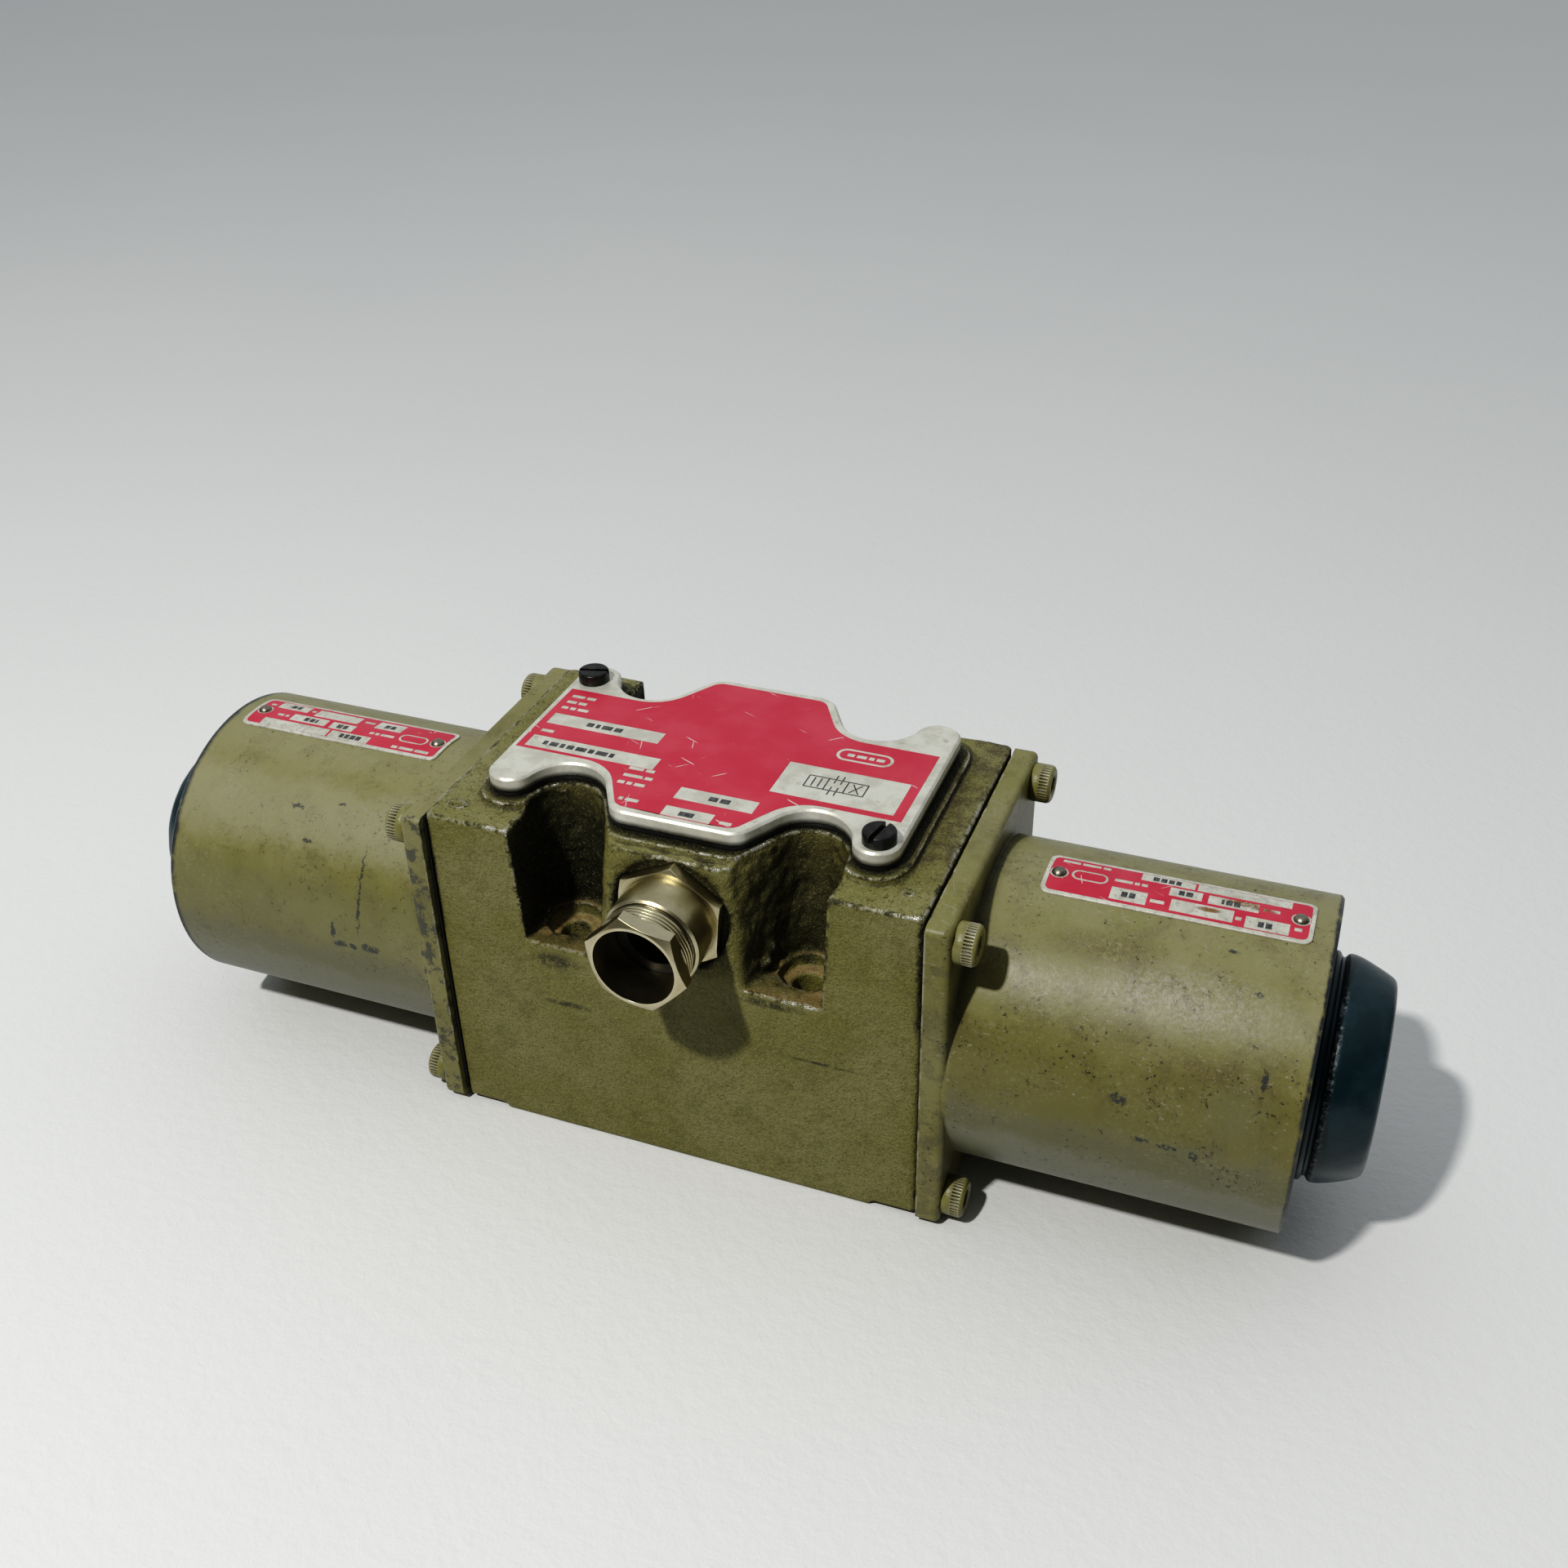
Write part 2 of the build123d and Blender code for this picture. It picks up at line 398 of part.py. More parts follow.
    e0, e1 = END_PLATE_X, END_PLATE_STEP_X
    g0, g1 = BOSS_GROOVE_X
    parts["end_plate"] = turned_x([(e0, POLE_R + FIT), (e0, SHELL_R - FIT), (e1, SHELL_R - FIT), (e1, BOSS_R),
                                   (g0, BOSS_R), (g0, BOSS_R - 1), (g1, BOSS_R - 1), (g1, BOSS_R),
                                   (BOSS_X - 0.5, BOSS_R), (BOSS_X, BOSS_R - 0.5), (BOSS_X, POLE_R + FIT)])
    outside = [(e1 + FIT, BOOT_R), (END_X + 0.8, BOOT_R + 0.3), (END_X + 1.6, BOOT_R),
               (END_X + 1.9, BOOT_R - 0.7), (END_X + 2.6, BOOT_R - 0.7), (END_X + 3.0, BOOT_R),
               (END_X + 4.8, BOOT_R), (END_X + 6.8, BOOT_R - 0.6), (END_X + 9.3, BOOT_R - 2.0),
               (BOOT_X - 0.8, BOOT_NOSE_R), (BOOT_X, BOOT_NOSE_R - 1.2), (BOOT_X, 0)]
    inside = [(BOOT_X - BOOT_WALL, 0), (BOOT_X - BOOT_WALL, BOOT_NOSE_R - 2.8), (135.0, BOSS_R + FIT),
              (g1 - FIT, BOSS_R + FIT), (g1 - FIT, BOSS_R - 1 + FIT), (g0 + FIT, BOSS_R - 1 + FIT),
              (g0 + FIT, BOSS_R + FIT), (e1 + FIT, BOSS_R + FIT)]
    parts["rubber_boot"] = turned_x(outside + inside)

    x0, x1 = LABEL_X - LABEL_LENGTH / 2, LABEL_X + LABEL_LENGTH / 2
    label = ring_x(COIL_R + LABEL_T, COIL_R, x0, x1)
    stamp = RectangleRounded(LABEL_LENGTH, LABEL_WIDTH, 1.8)
    label &= Pos(LABEL_X, 0, AXIS_Z + 20) * extrude(stamp, 30)
    rivets = Part()
    label_z = AXIS_Z + COIL_R + LABEL_T
    for x in (LABEL_X - RIVET_X, LABEL_X + RIVET_X):
        label -= rod_z(RIVET_R + FIT, 60, 80, x, 0)
        housing -= tilt * rod_z(RIVET_R + FIT, 60, 80, x, 0)
        dome = Pos(x, 0, label_z - 0.6) * Sphere(RIVET_DOME_R)
        dome &= rod_z(RIVET_DOME_R + 1, label_z, 80, x, 0)
        rivets += dome + rod_z(RIVET_R, AXIS_Z + SHELL_R + 0.3, label_z, x, 0)
    parts["solenoid_housing"] = housing
    parts["nameplate"] = tilt * label
    parts["nameplate_rivets"] = tilt * rivets

    d0, d1 = PLATE_X
    parts["spring_plate"] = turned_x([(d0, NECK_R + RUN), (d0, PLATE_R), (d1, PLATE_R), (d1, NECK_R + RUN)])
    parts["centring_spring"] = helix_spring(d1, FACE_X)
    return parts


nodes = {
    "valve_body": body,
    "port_seals": seals,
    "cover_gasket": gasket,
    "cover_plate": cover,
    "cover_screws": cover_screws,
    "gland_body": gland_body,
    "gland_seal": gland_seal,
    "gland_nut": gland_nut,
    "terminal_block": block,
    "terminal_screws": terminal_screws,
    "spool": spool,
}
for name, shape in make_solenoid(LABEL_TILT["b"]).items():
    nodes[name + "_b"] = shape
for name, shape in make_solenoid(LABEL_TILT["a"]).items():
    nodes[name + "_a"] = mirror(shape, about=Plane.YZ)

for name, shape in nodes.items():
    export_step(shape, f"parts/{name}.step")
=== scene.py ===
from math import cos, hypot, pi, radians, sin, sqrt

import bmesh
import bpy
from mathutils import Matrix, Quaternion, Vector, noise
from mathutils.geometry import tessellate_polygon


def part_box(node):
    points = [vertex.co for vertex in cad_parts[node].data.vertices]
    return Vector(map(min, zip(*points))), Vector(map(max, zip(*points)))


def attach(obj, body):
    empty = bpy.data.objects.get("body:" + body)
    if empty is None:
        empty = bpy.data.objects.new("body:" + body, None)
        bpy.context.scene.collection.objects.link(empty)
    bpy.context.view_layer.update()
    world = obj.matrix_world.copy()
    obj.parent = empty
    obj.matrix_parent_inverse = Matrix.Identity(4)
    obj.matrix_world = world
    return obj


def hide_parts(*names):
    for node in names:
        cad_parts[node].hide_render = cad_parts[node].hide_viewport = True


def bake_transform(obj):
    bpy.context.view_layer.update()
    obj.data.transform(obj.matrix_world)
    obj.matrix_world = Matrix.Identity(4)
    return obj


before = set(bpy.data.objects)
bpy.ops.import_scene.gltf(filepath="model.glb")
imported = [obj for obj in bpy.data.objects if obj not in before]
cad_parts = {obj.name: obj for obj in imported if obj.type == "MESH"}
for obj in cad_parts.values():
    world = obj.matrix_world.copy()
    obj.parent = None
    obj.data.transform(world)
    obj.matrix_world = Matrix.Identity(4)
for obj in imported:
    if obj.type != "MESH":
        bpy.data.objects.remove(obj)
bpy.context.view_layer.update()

# Looks of a double-solenoid directional valve: worn olive paint on a rough casting, a crimson-printed
# aluminium cover, nickel cable gland, knurled screws and rubber boots. Everything is in metres.

MM = 0.001

# ---- places and sizes taken from the frame -------------------------------
BODY_LOW, BODY_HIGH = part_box("valve_body")
COVER_LOW, COVER_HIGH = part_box("cover_plate")
HOUSING_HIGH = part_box("solenoid_housing_b")[1]
SCREWS_LOW, SCREWS_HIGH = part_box("flange_screws_b")
BOOT_LOW, BOOT_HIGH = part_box("rubber_boot_b")
LABEL_LOW, LABEL_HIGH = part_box("nameplate_b")
AXIS_Z = (BOOT_LOW.z + BOOT_HIGH.z) / 2
COVER_Y = (COVER_LOW.y + COVER_HIGH.y) / 2
LABEL_X = (LABEL_LOW.x + LABEL_HIGH.x) / 2
LABEL_R = LABEL_HIGH.z - AXIS_Z
DRUM_R = LABEL_R - 0.5 * MM

# ---- camera and light ----------------------------------------------------
CAMERA_AT = Vector((0.1224, -0.2734, 0.2711))
CAMERA_AIM = Vector((-0.0104, 0.0597, 0.0400))
CAMERA_ROLL = -1.37
CAMERA_LENS, CAMERA_SENSOR = 38.02, 36.0
KEY_FROM = Vector((-0.20, -0.55, 0.80))
KEY_DISTANCE, KEY_SIZE, KEY_POWER = 1.2, 0.06, 9.9
KEY_COLOUR = (1.0, 0.985, 0.95)
SKY_BRIGHT_TOWARD = (-0.15, 0.60, 0.78)
BACKDROP = (0.62, 0.64, 0.65)
TONE_TOE = ((0.030, 0.014), (0.070, 0.052), (0.150, 0.145), (0.350, 0.350))


# ---- node helper ---------------------------------------------------------
class Graph:
    """One material's node tree, with a short call for each kind of node used here."""

    def __init__(self, name):
        self.material = bpy.data.materials.new(name)
        self.material.use_nodes = True
        self.tree = self.material.node_tree
        self.bsdf = self.tree.nodes["Principled BSDF"]
        self.place = self.add("TexCoord").outputs["Object"]

    def add(self, kind, inputs=None, **settings):
        node = self.tree.nodes.new("ShaderNode" + kind)
        for key, value in settings.items():
            setattr(node, key, value)
        for key, value in (inputs or {}).items():
            self.feed(node.inputs[key], value)
        return node

    def feed(self, socket, value):
        if isinstance(value, bpy.types.NodeSocket):
            self.tree.links.new(value, socket)
        elif isinstance(value, tuple) and len(value) == 3 and socket.type == "RGBA":
            socket.default_value = (*value, 1.0)
        else:
            socket.default_value = value

    def finish(self, **inputs):
        for key, value in inputs.items():
            self.feed(self.bsdf.inputs[key.replace("_", " ")], value)
        return self.material

    def math(self, operation, a, b=0.0, clamp=False):
        return self.add("Math", {0: a, 1: b}, operation=operation, use_clamp=clamp).outputs[0]

    def product(self, *factors):
        out = factors[0]
        for factor in factors[1:]:
            out = self.math("MULTIPLY", out, factor)
        return out

    def brightest(self, *masks):
        out = masks[0]
        for mask in masks[1:]:
            out = self.math("MAXIMUM", out, mask)
        return out

    def invert(self, value):
        return self.math("SUBTRACT", 1.0, value)

    def noise(self, size, detail=3.0, rough=0.55, bend=0.0, place=None, stretch=None):
        place = place or self.place
        if stretch:
            place = self.add("VectorMath", {0: place, 1: stretch}, operation="MULTIPLY").outputs[0]
        inputs = {"Vector": place, "Scale": 1 / size, "Detail": detail, "Roughness": rough,
                  "Distortion": bend}
        return self.add("TexNoise", inputs).outputs["Fac"]

    def mask(self, value, low, high):
        """0 below low, 1 above high; low may be the larger one."""
        node = self.add("MapRange", {0: value, 1: low, 2: high}, interpolation_type="SMOOTHSTEP")
        return node.outputs[0]

    def scale(self, value, low, high):
        return self.add("MapRange", {0: value, 3: low, 4: high}).outputs[0]

    def mix(self, factor, a, b):
        return self.add("Mix", {0: factor, 6: a, 7: b}, data_type="RGBA").outputs[2]

    def blend(self, factor, a, b):
        return self.add("Mix", {0: factor, 2: a, 3: b}, data_type="FLOAT").outputs[0]

    def bump(self, height, distance, normal=None):
        inputs = {"Height": height, "Distance": distance}
        if normal:
            inputs["Normal"] = normal
        return self.add("Bump", inputs).outputs[0]

    def rounded(self, radius):
        return self.add("Bevel", {"Radius": radius}, samples=6).outputs[0]

    def edges(self, reach):
        """1 near an outside edge, fading over reach."""
        node = self.add("AmbientOcclusion", {"Distance": reach}, samples=8, inside=True)
        return self.invert(node.outputs["AO"])

    def ridges(self, low, high):
        """1 on convex edges of a dense mesh."""
        return self.mask(self.add("NewGeometry").outputs["Pointiness"], low, high)

    def corners(self, reach):
        """1 deep in an inside corner or recess, fading over reach."""
        node = self.add("AmbientOcclusion", {"Distance": reach}, samples=8)
        return self.invert(node.outputs["AO"])

    def axes(self):
        node = self.add("SeparateXYZ", {0: self.place})
        return node.outputs[0], node.outputs[1], node.outputs[2]

    def facing(self):
        """Components of the unrounded surface normal."""
        node = self.add("SeparateXYZ", {0: self.add("NewGeometry").outputs["True Normal"]})
        return node.outputs[0], node.outputs[1], node.outputs[2]

    def scratches(self, turn, size, amount):
        """Straight fine lines running one way; a larger amount leaves fewer of them."""
        turned = self.add("VectorRotate", {"Vector": self.place, "Angle": turn}, rotation_type="Z_AXIS")
        streaks = self.noise(size, 2, 0.5, place=turned.outputs[0], stretch=(0.05, 1.0, 1.0))
        return self.mask(streaks, amount, amount + 0.025)

    def spot(self, u, v, at, size, soft=0.5):
        """1 inside an ellipse at (u, v), fading out to its edge."""
        du = self.math("DIVIDE", self.math("SUBTRACT", u, at[0]), size[0])
        dv = self.math("DIVIDE", self.math("SUBTRACT", v, at[1]), size[1])
        far = self.math("SQRT", self.math("ADD", self.product(du, du), self.product(dv, dv)))
        return self.mask(far, 1.0, 1.0 - soft)


OLIVE = (0.186, 0.174, 0.055)
OLIVE_DARK = (0.112, 0.104, 0.032)
OLIVE_LIGHT = (0.235, 0.220, 0.092)
# The dust colour also stands in for sheen on the housings' tops.
DUST_AND_SHEEN = (0.330, 0.318, 0.190)
# Near black, used both for grime and for painted shade.
SHADE_AND_GRIME = (0.012, 0.012, 0.009)
BARE_STEEL = (0.50, 0.49, 0.44)
CHIPPED = (0.035, 0.040, 0.042)
CRIMSON = (0.53, 0.030, 0.058)
CRIMSON_PALE = (0.57, 0.050, 0.080)
SILVER, SILVER_DULL = (0.76, 0.75, 0.66), (0.60, 0.59, 0.50)
CAKED = (0.050, 0.036, 0.020)

# ---- where the marks are -------------------------------------------------
# On the housings: millimetres along from the middle of the valve, and round from the top to the front.
# A zone is (fades in from, to, fades out from, to, colour, strength); a patch is (centre, size, colour,
# strength); a chip is (centre, size).
PAINTED_SHADE_OLIVE, GREY_OLIVE, FLOOR_BOUNCE_GREY = (0.128, 0.115, 0.040), (0.150, 0.150, 0.088), (0.25, 0.25, 0.19)
STAIN, SAND = (0.105, 0.078, 0.036), (0.35, 0.32, 0.235)
# Zones that start about 33 mm round darken the side below the middle as painted shade; zones from 50 mm round
# to the bottom turn it grey, and lighter at the very bottom, as painted light thrown up from the floor; the
# dust zones higher up are dust, partly painted sheen.
HOUSING_ZONES = {
    "b": [(-40, -30, 12, 24, DUST_AND_SHEEN, 0.20), (33, 40, 50, 58, PAINTED_SHADE_OLIVE, 0.60),
          (50, 57, 90, 95, GREY_OLIVE, 0.75), (60, 66, 90, 95, FLOOR_BOUNCE_GREY, 0.70)],
    "a": [(-40, -30, 8, 16, DUST_AND_SHEEN, 0.22), (14, 20, 30, 37, DUST_AND_SHEEN, 0.38), (34, 42, 50, 58, GREY_OLIVE, 0.40),
          (50, 58, 90, 95, GREY_OLIVE, 0.85), (60, 66, 90, 95, FLOOR_BOUNCE_GREY, 0.50)],
}
HOUSING_PATCHES = {
    "b": [((103, 24), (27, 10), SAND, 0.80), ((116, 42), (10, 12), GREY_OLIVE, 0.7),
          ((76, 28), (10, 7), DUST_AND_SHEEN, 0.45), ((86, 17), (16, 5), STAIN, 0.75),
          ((110, 36), (16, 5), STAIN, 0.6), ((92, 33), (12, 5), STAIN, 0.5)],
    "a": [((116, 30), (8, 14), DUST_AND_SHEEN, 0.30), ((100, 48), (7, 3), GREY_OLIVE, 0.5)],
}
HOUSING_CHIPS = {
    "b": [((94, 46), (2.0, 1.3)), ((99, 54), (2.0, 0.7)), ((104.5, 54.4), (2.2, 0.6)),
          ((109.5, 55), (0.8, 1.3)), ((120, 36), (0.9, 2.2)), ((110, 12), (1.2, 0.5)),
          ((116, 20), (1.0, 0.8))],
    "a": [((74, 53.5), (2.6, 1.3)), ((83.5, 50.5), (0.7, 2.6)), ((82, 54), (2.0, 0.9)),
          ((78.5, 54), (1.2, 1.0)), ((76.6, 40), (0.35, 13)), ((97, 23.5), (1.8, 0.6)),
          ((86, 21), (1.4, 0.4)), ((92, 31), (1.5, 0.5))],
}
LABEL_STAINS = {
    "a": [],
    "b": [((LABEL_X + 0.0125, 0.0010), (0.0045, 0.0012)), ((LABEL_X + 0.0065, -0.0030), (0.0030, 0.0009)),
          ((LABEL_X + 0.0170, 0.0002), (0.0030, 0.0008))],
}
SCRAPE_STRENGTH = {"a": 0.35, "b": 0.60}
STAIN_STRENGTH = {"a": 0.32, "b": 0.60}
SPECK_STRENGTH = {"a": 0.55, "b": 0.90}
FLANGE_CHIPS = {"a": 0.80, "b": 0.30}
FRONT_SMEARS = [((-0.025, 0.0366), (0.008, 0.0012)), ((-0.027, 0.0480), (0.008, 0.0030)),
                ((0.022, 0.0500), (0.010, 0.0016)), ((0.034, 0.0372), (0.012, 0.0006))]
RECESS_FLOOR = 0.0510
# Places on the body and flanges over which a mark fades in.
RECESS_FROM, FLOOR_EDGE_FROM = (0.0490, 0.0520), (0.0545, 0.0530)
EAR_EDGE_FROM, EAR_TOP_FROM, PAD_FROM = (0.0770, 0.0785), (0.0790, 0.0795), (0.0806, 0.0813)
HOLLOW_FROM = (0.0485, 0.0540)
STRIP_FROM_X, STRIP_FROM_Y = (0.0455, 0.0475), (-0.0220, -0.0140)
FLANGE_FACE, FLANGE_FRONT = (0.0606, 0.0602), (-0.0325, -0.0335)


# ---- materials -----------------------------------------------------------
def cast_paint():
    """Olive paint over a sand casting: grainy, with painted shade darkening its recesses nearly to black, the
    corner under the cover's edge and, along with grime, its creases; rubbed bare on its edges.
    """
    g = Graph("cast_olive_paint")
    x, y, z = g.axes()
    _, ny, nz = g.facing()
    broad = g.noise(0.026, 3, 0.6)
    patch = g.noise(0.005, 4, 0.7)
    grain = g.noise(0.0009, 3, 0.7)
    specks = g.mask(g.noise(0.0012, 4, 0.8), 0.64, 0.70)
    colour = g.mix(g.mask(broad, 0.35, 0.65), OLIVE, OLIVE_LIGHT)
    colour = g.mix(g.product(g.mask(patch, 0.45, 0.75), 0.55), colour, OLIVE_DARK)
    colour = g.mix(g.product(g.mask(grain, 0.50, 0.72), 0.45), colour, OLIVE_DARK)
    colour = g.mix(g.product(specks, 0.7), colour, SHADE_AND_GRIME)
    # Painted shade: the recesses go nearly black, more on the left, and lose most of their shine.
    inside = g.product(g.mask(z, *HOLLOW_FROM), g.mask(z, COVER_LOW.z + 0.001, COVER_LOW.z - 0.003))
    hollow = g.mask(g.math("ADD", g.corners(0.030), g.scale(patch, -0.14, 0.14)), 0.10, 0.44)
    recess_shade = g.product(inside, hollow, g.blend(g.mask(x, -0.01, 0.01), 0.98, 0.80))
    colour = g.mix(recess_shade, colour, SHADE_AND_GRIME)
    floor = g.product(g.mask(z, RECESS_FLOOR + 0.0014, RECESS_FLOOR + 0.0006), g.mask(nz, 0.55, 0.85),
                      g.mask(z, RECESS_FLOOR - 0.0036, RECESS_FLOOR - 0.0030))
    sand = g.mix(g.mask(patch, 0.4, 0.65), (0.30, 0.20, 0.095), (0.15, 0.115, 0.050))
    colour = g.mix(g.product(floor, g.scale(g.mask(patch, 0.35, 0.6), 0.55, 1.0)), colour, sand)
    smear = g.product(g.mask(ny, -0.7, -0.9), g.mask(g.noise(0.0022, 5, 0.75), 0.36, 0.52))
    for at, size in FRONT_SMEARS:
        mark = g.product(g.spot(x, z, at, size, 0.8), smear, 0.85)
        colour = g.mix(mark, colour, SHADE_AND_GRIME)
    # Painted shade in the corner where the pad meets the cover's edge.
    pad = g.product(g.mask(z, *PAD_FROM), g.mask(g.corners(0.009), 0.04, 0.42))
    colour = g.mix(g.product(pad, 0.9), colour, SHADE_AND_GRIME)
    # Concave creases of the casting darken toward black, partly as grime and partly as painted shade.
    creases = g.product(g.ridges(0.488, 0.462), g.mask(z, *RECESS_FROM))
    colour = g.mix(g.product(creases, 0.75), colour, SHADE_AND_GRIME)
    broken = g.noise(0.0026, 5, 0.8)
    charred = g.product(g.ridges(0.502, 0.520), g.mask(broken, 0.50, 0.42), g.mask(z, *RECESS_FROM))
    colour = g.mix(g.product(charred, 0.85), colour, SHADE_AND_GRIME)
    stretch = g.mask(g.noise(0.013, 3, 0.6), 0.44, 0.56)
    level_edge = g.brightest(g.mask(z, *EAR_EDGE_FROM), g.mask(z, *FLOOR_EDGE_FROM))
    kept = g.product(g.brightest(level_edge, 0.35), g.scale(stretch, 0.25, 1.0))
    worn = g.product(g.ridges(0.512, 0.535), g.mask(broken, 0.47, 0.56), kept)
    worn = g.product(worn, g.mask(z, *RECESS_FROM))
    rubbed = g.product(g.mask(nz, 0.7, 0.9), g.mask(z, *EAR_TOP_FROM), g.mask(grain, 0.56, 0.66))
    colour = g.mix(g.product(rubbed, 0.6), colour, SHADE_AND_GRIME)
    strip = g.product(g.mask(z, *EAR_TOP_FROM), g.mask(x, *STRIP_FROM_X), g.mask(y, *STRIP_FROM_Y))
    colour = g.mix(g.product(strip, g.mask(patch, 0.30, 0.62), 0.72), colour, CAKED)
    colour = g.mix(worn, colour, BARE_STEEL)
    rough = g.blend(worn, g.scale(grain, 0.42, 0.66), 0.25)
    sandy = g.noise(0.00045, 3, 0.7)
    colour = g.mix(g.product(g.mask(sandy, 0.53, 0.66), 0.62), colour, OLIVE_DARK)
    colour = g.mix(g.product(g.mask(sandy, 0.46, 0.34), 0.42), colour, DUST_AND_SHEEN)
    height = g.math("ADD", g.product(grain, 0.6), g.product(g.noise(0.0022, 4, 0.6), 0.9))
    height = g.math("ADD", height, g.product(sandy, 0.5))
    normal = g.bump(height, 0.00036)
    return g.finish(Base_Color=colour, Roughness=rough, Metallic=g.product(worn, 0.9), Normal=normal,
                    Specular_IOR_Level=g.blend(recess_shade, 0.38, 0.06))


def housing_paint(side):
    """Olive paint on a smooth turned housing: dust and painted sheen on top, painted shade below the middle
    and where the drum meets the flange, painted floor light along the bottom, scuffed, chipped to dark steel.
    """
    g = Graph("housing_olive_paint_" + side)
    x, y, z = g.axes()
    sign = 1.0 if side == "b" else -1.0
    along = g.product(x, sign)
    angle = g.math("ARCTAN2", g.product(y, -1.0), g.math("SUBTRACT", z, AXIS_Z))
    around = g.product(angle, LABEL_R)
    along_mm, around_mm = g.product(along, 1000.0), g.product(around, 1000.0)
    on_drum = g.mask(along, 0.0600, 0.0612)
    broad = g.noise(0.030, 3, 0.6)
    patch = g.noise(0.006, 4, 0.65)
    grain = g.noise(0.0012, 3, 0.7)
    colour = g.mix(g.mask(broad, 0.35, 0.65), OLIVE, OLIVE_LIGHT)
    colour = g.mix(g.product(g.mask(patch, 0.48, 0.80), 0.6), colour, OLIVE_DARK)
    ragged = g.scale(patch, -0.006, 0.006)
    level = g.math("ADD", around, ragged)
    stained = g.mask(g.noise(0.012, 8, 0.82, 0.5), 0.47, 0.66)
    colour = g.mix(g.product(stained, STAIN_STRENGTH[side]), colour, STAIN)
    for zone in HOUSING_ZONES[side]:
        start, full, end, gone, tone, strength = zone
        band = g.product(g.mask(level, start * MM, full * MM), g.mask(level, gone * MM, end * MM))
        colour = g.mix(g.product(band, on_drum, strength), colour, tone)
    for at, size, tone, strength in HOUSING_PATCHES[side]:
        area = g.product(g.spot(along_mm, around_mm, at, size, 0.80), on_drum,
                         g.mask(g.noise(0.0009, 6, 0.9, 0.4), 0.42, 0.58))
        colour = g.mix(g.product(area, strength), colour, tone)
    dust = g.product(g.mask(g.noise(0.0009, 5, 0.85), 0.50, 0.66), g.mask(g.noise(0.014, 4), 0.38, 0.62))
    colour = g.mix(g.product(dust, 0.40), colour, DUST_AND_SHEEN)
    scraped = g.brightest(g.scratches(0.35, 0.0006, 0.68), g.scratches(-0.60, 0.0007, 0.69),
                          g.scratches(1.25, 0.0006, 0.69))
    scraped = g.product(scraped, g.mask(g.noise(0.016, 3), 0.40, 0.56), SCRAPE_STRENGTH[side])
    colour = g.mix(scraped, colour, SAND)
    rings = g.noise(0.0011, 3, 0.6, stretch=(1.0, 0.10, 0.10))
    colour = g.mix(g.product(g.mask(rings, 0.58, 0.70), g.mask(stained, 0.0, 0.8), 0.5), colour, STAIN)
    specks = g.product(g.mask(g.noise(0.0011, 4, 0.8), 0.58, 0.64), g.mask(g.noise(0.012, 2), 0.38, 0.58))
    colour = g.mix(g.product(specks, SPECK_STRENGTH[side]), colour, SHADE_AND_GRIME)
    jag_u = g.math("ADD", along_mm, g.scale(g.noise(0.0016, 4, 0.8), -1.6, 1.6))
    jag_v = g.math("ADD", around_mm, g.scale(g.noise(0.0014, 4, 0.8), -1.4, 1.4))
    broken = g.mask(g.noise(0.0010, 4, 0.75), 0.38, 0.46)
    for at, size in HOUSING_CHIPS[side]:
        mark = g.product(g.spot(jag_u, jag_v, at, size, 0.30), broken, on_drum)
        colour = g.mix(g.product(mark, 0.9), colour, CHIPPED)
    rim_depth = 0.0022 if side == "a" else 0.0012
    rim = g.product(g.mask(g.math("ADD", along, g.scale(patch, -0.0008, 0.0008)), HOUSING_HIGH.x - rim_depth,
                           HOUSING_HIGH.x - rim_depth * 0.4), g.mask(g.noise(0.005, 4, 0.7), 0.30, 0.50))
    colour = g.mix(rim, colour, CHIPPED)
    far = g.math("SQRT", g.math("ADD", g.product(y, y), g.math("POWER", g.math("SUBTRACT", z, AXIS_Z), 2.0)))
    # Painted shade where the drum meets the flange face, round the upper part of the drum.
    base = g.product(g.mask(along, 0.0640, 0.0600), g.mask(far, DRUM_R + 0.0100, DRUM_R - 0.0010),
                     g.mask(z, 0.045, 0.062))
    colour = g.mix(g.product(base, g.scale(patch, 0.45, 1.0), 0.85), colour, SHADE_AND_GRIME)
    ragged_edge = g.mask(g.noise(0.0045, 5, 0.75), 0.50, 0.58)
    flange_front = g.product(g.mask(along, *FLANGE_FACE), g.mask(y, *FLANGE_FRONT), ragged_edge)
    colour = g.mix(g.product(flange_front, FLANGE_CHIPS[side]), colour, CHIPPED)
    edge = g.mask(g.edges(0.0011), 0.30, 0.52)
    rubbed = g.product(edge, g.mask(g.noise(0.004, 3, 0.7), 0.44, 0.56))
    bright = g.mask(g.noise(0.006, 2), 0.40, 0.50)
    colour = g.mix(rubbed, colour, g.mix(bright, CHIPPED, (0.46, 0.45, 0.34)))
    rough = g.scale(grain, 0.34, 0.52)
    height = g.math("ADD", g.product(grain, 0.35), g.product(patch, 1.0))
    normal = g.bump(height, 0.00010, g.rounded(0.0005))
    return g.finish(Base_Color=colour, Roughness=rough, Normal=normal, Specular_IOR_Level=0.42)


def plain(name, colour, other, size, rough, metallic=0.0, relief=0.00003, radius=0.0003, shine=0.5):
    """A material with a second tone, uneven roughness and fine relief at the given scale."""
    g = Graph(name)
    tone = g.noise(size, 4, 0.65)
    fine = g.noise(size / 6, 3, 0.6)
    mixed = g.mix(g.mask(tone, 0.38, 0.66), colour, other)
    normal = g.bump(g.math("ADD", tone, fine), relief, g.rounded(radius))
    return g.finish(Base_Color=mixed, Roughness=g.scale(fine, rough[0], rough[1]), Metallic=metallic,
                    Normal=normal, Specular_IOR_Level=shine)


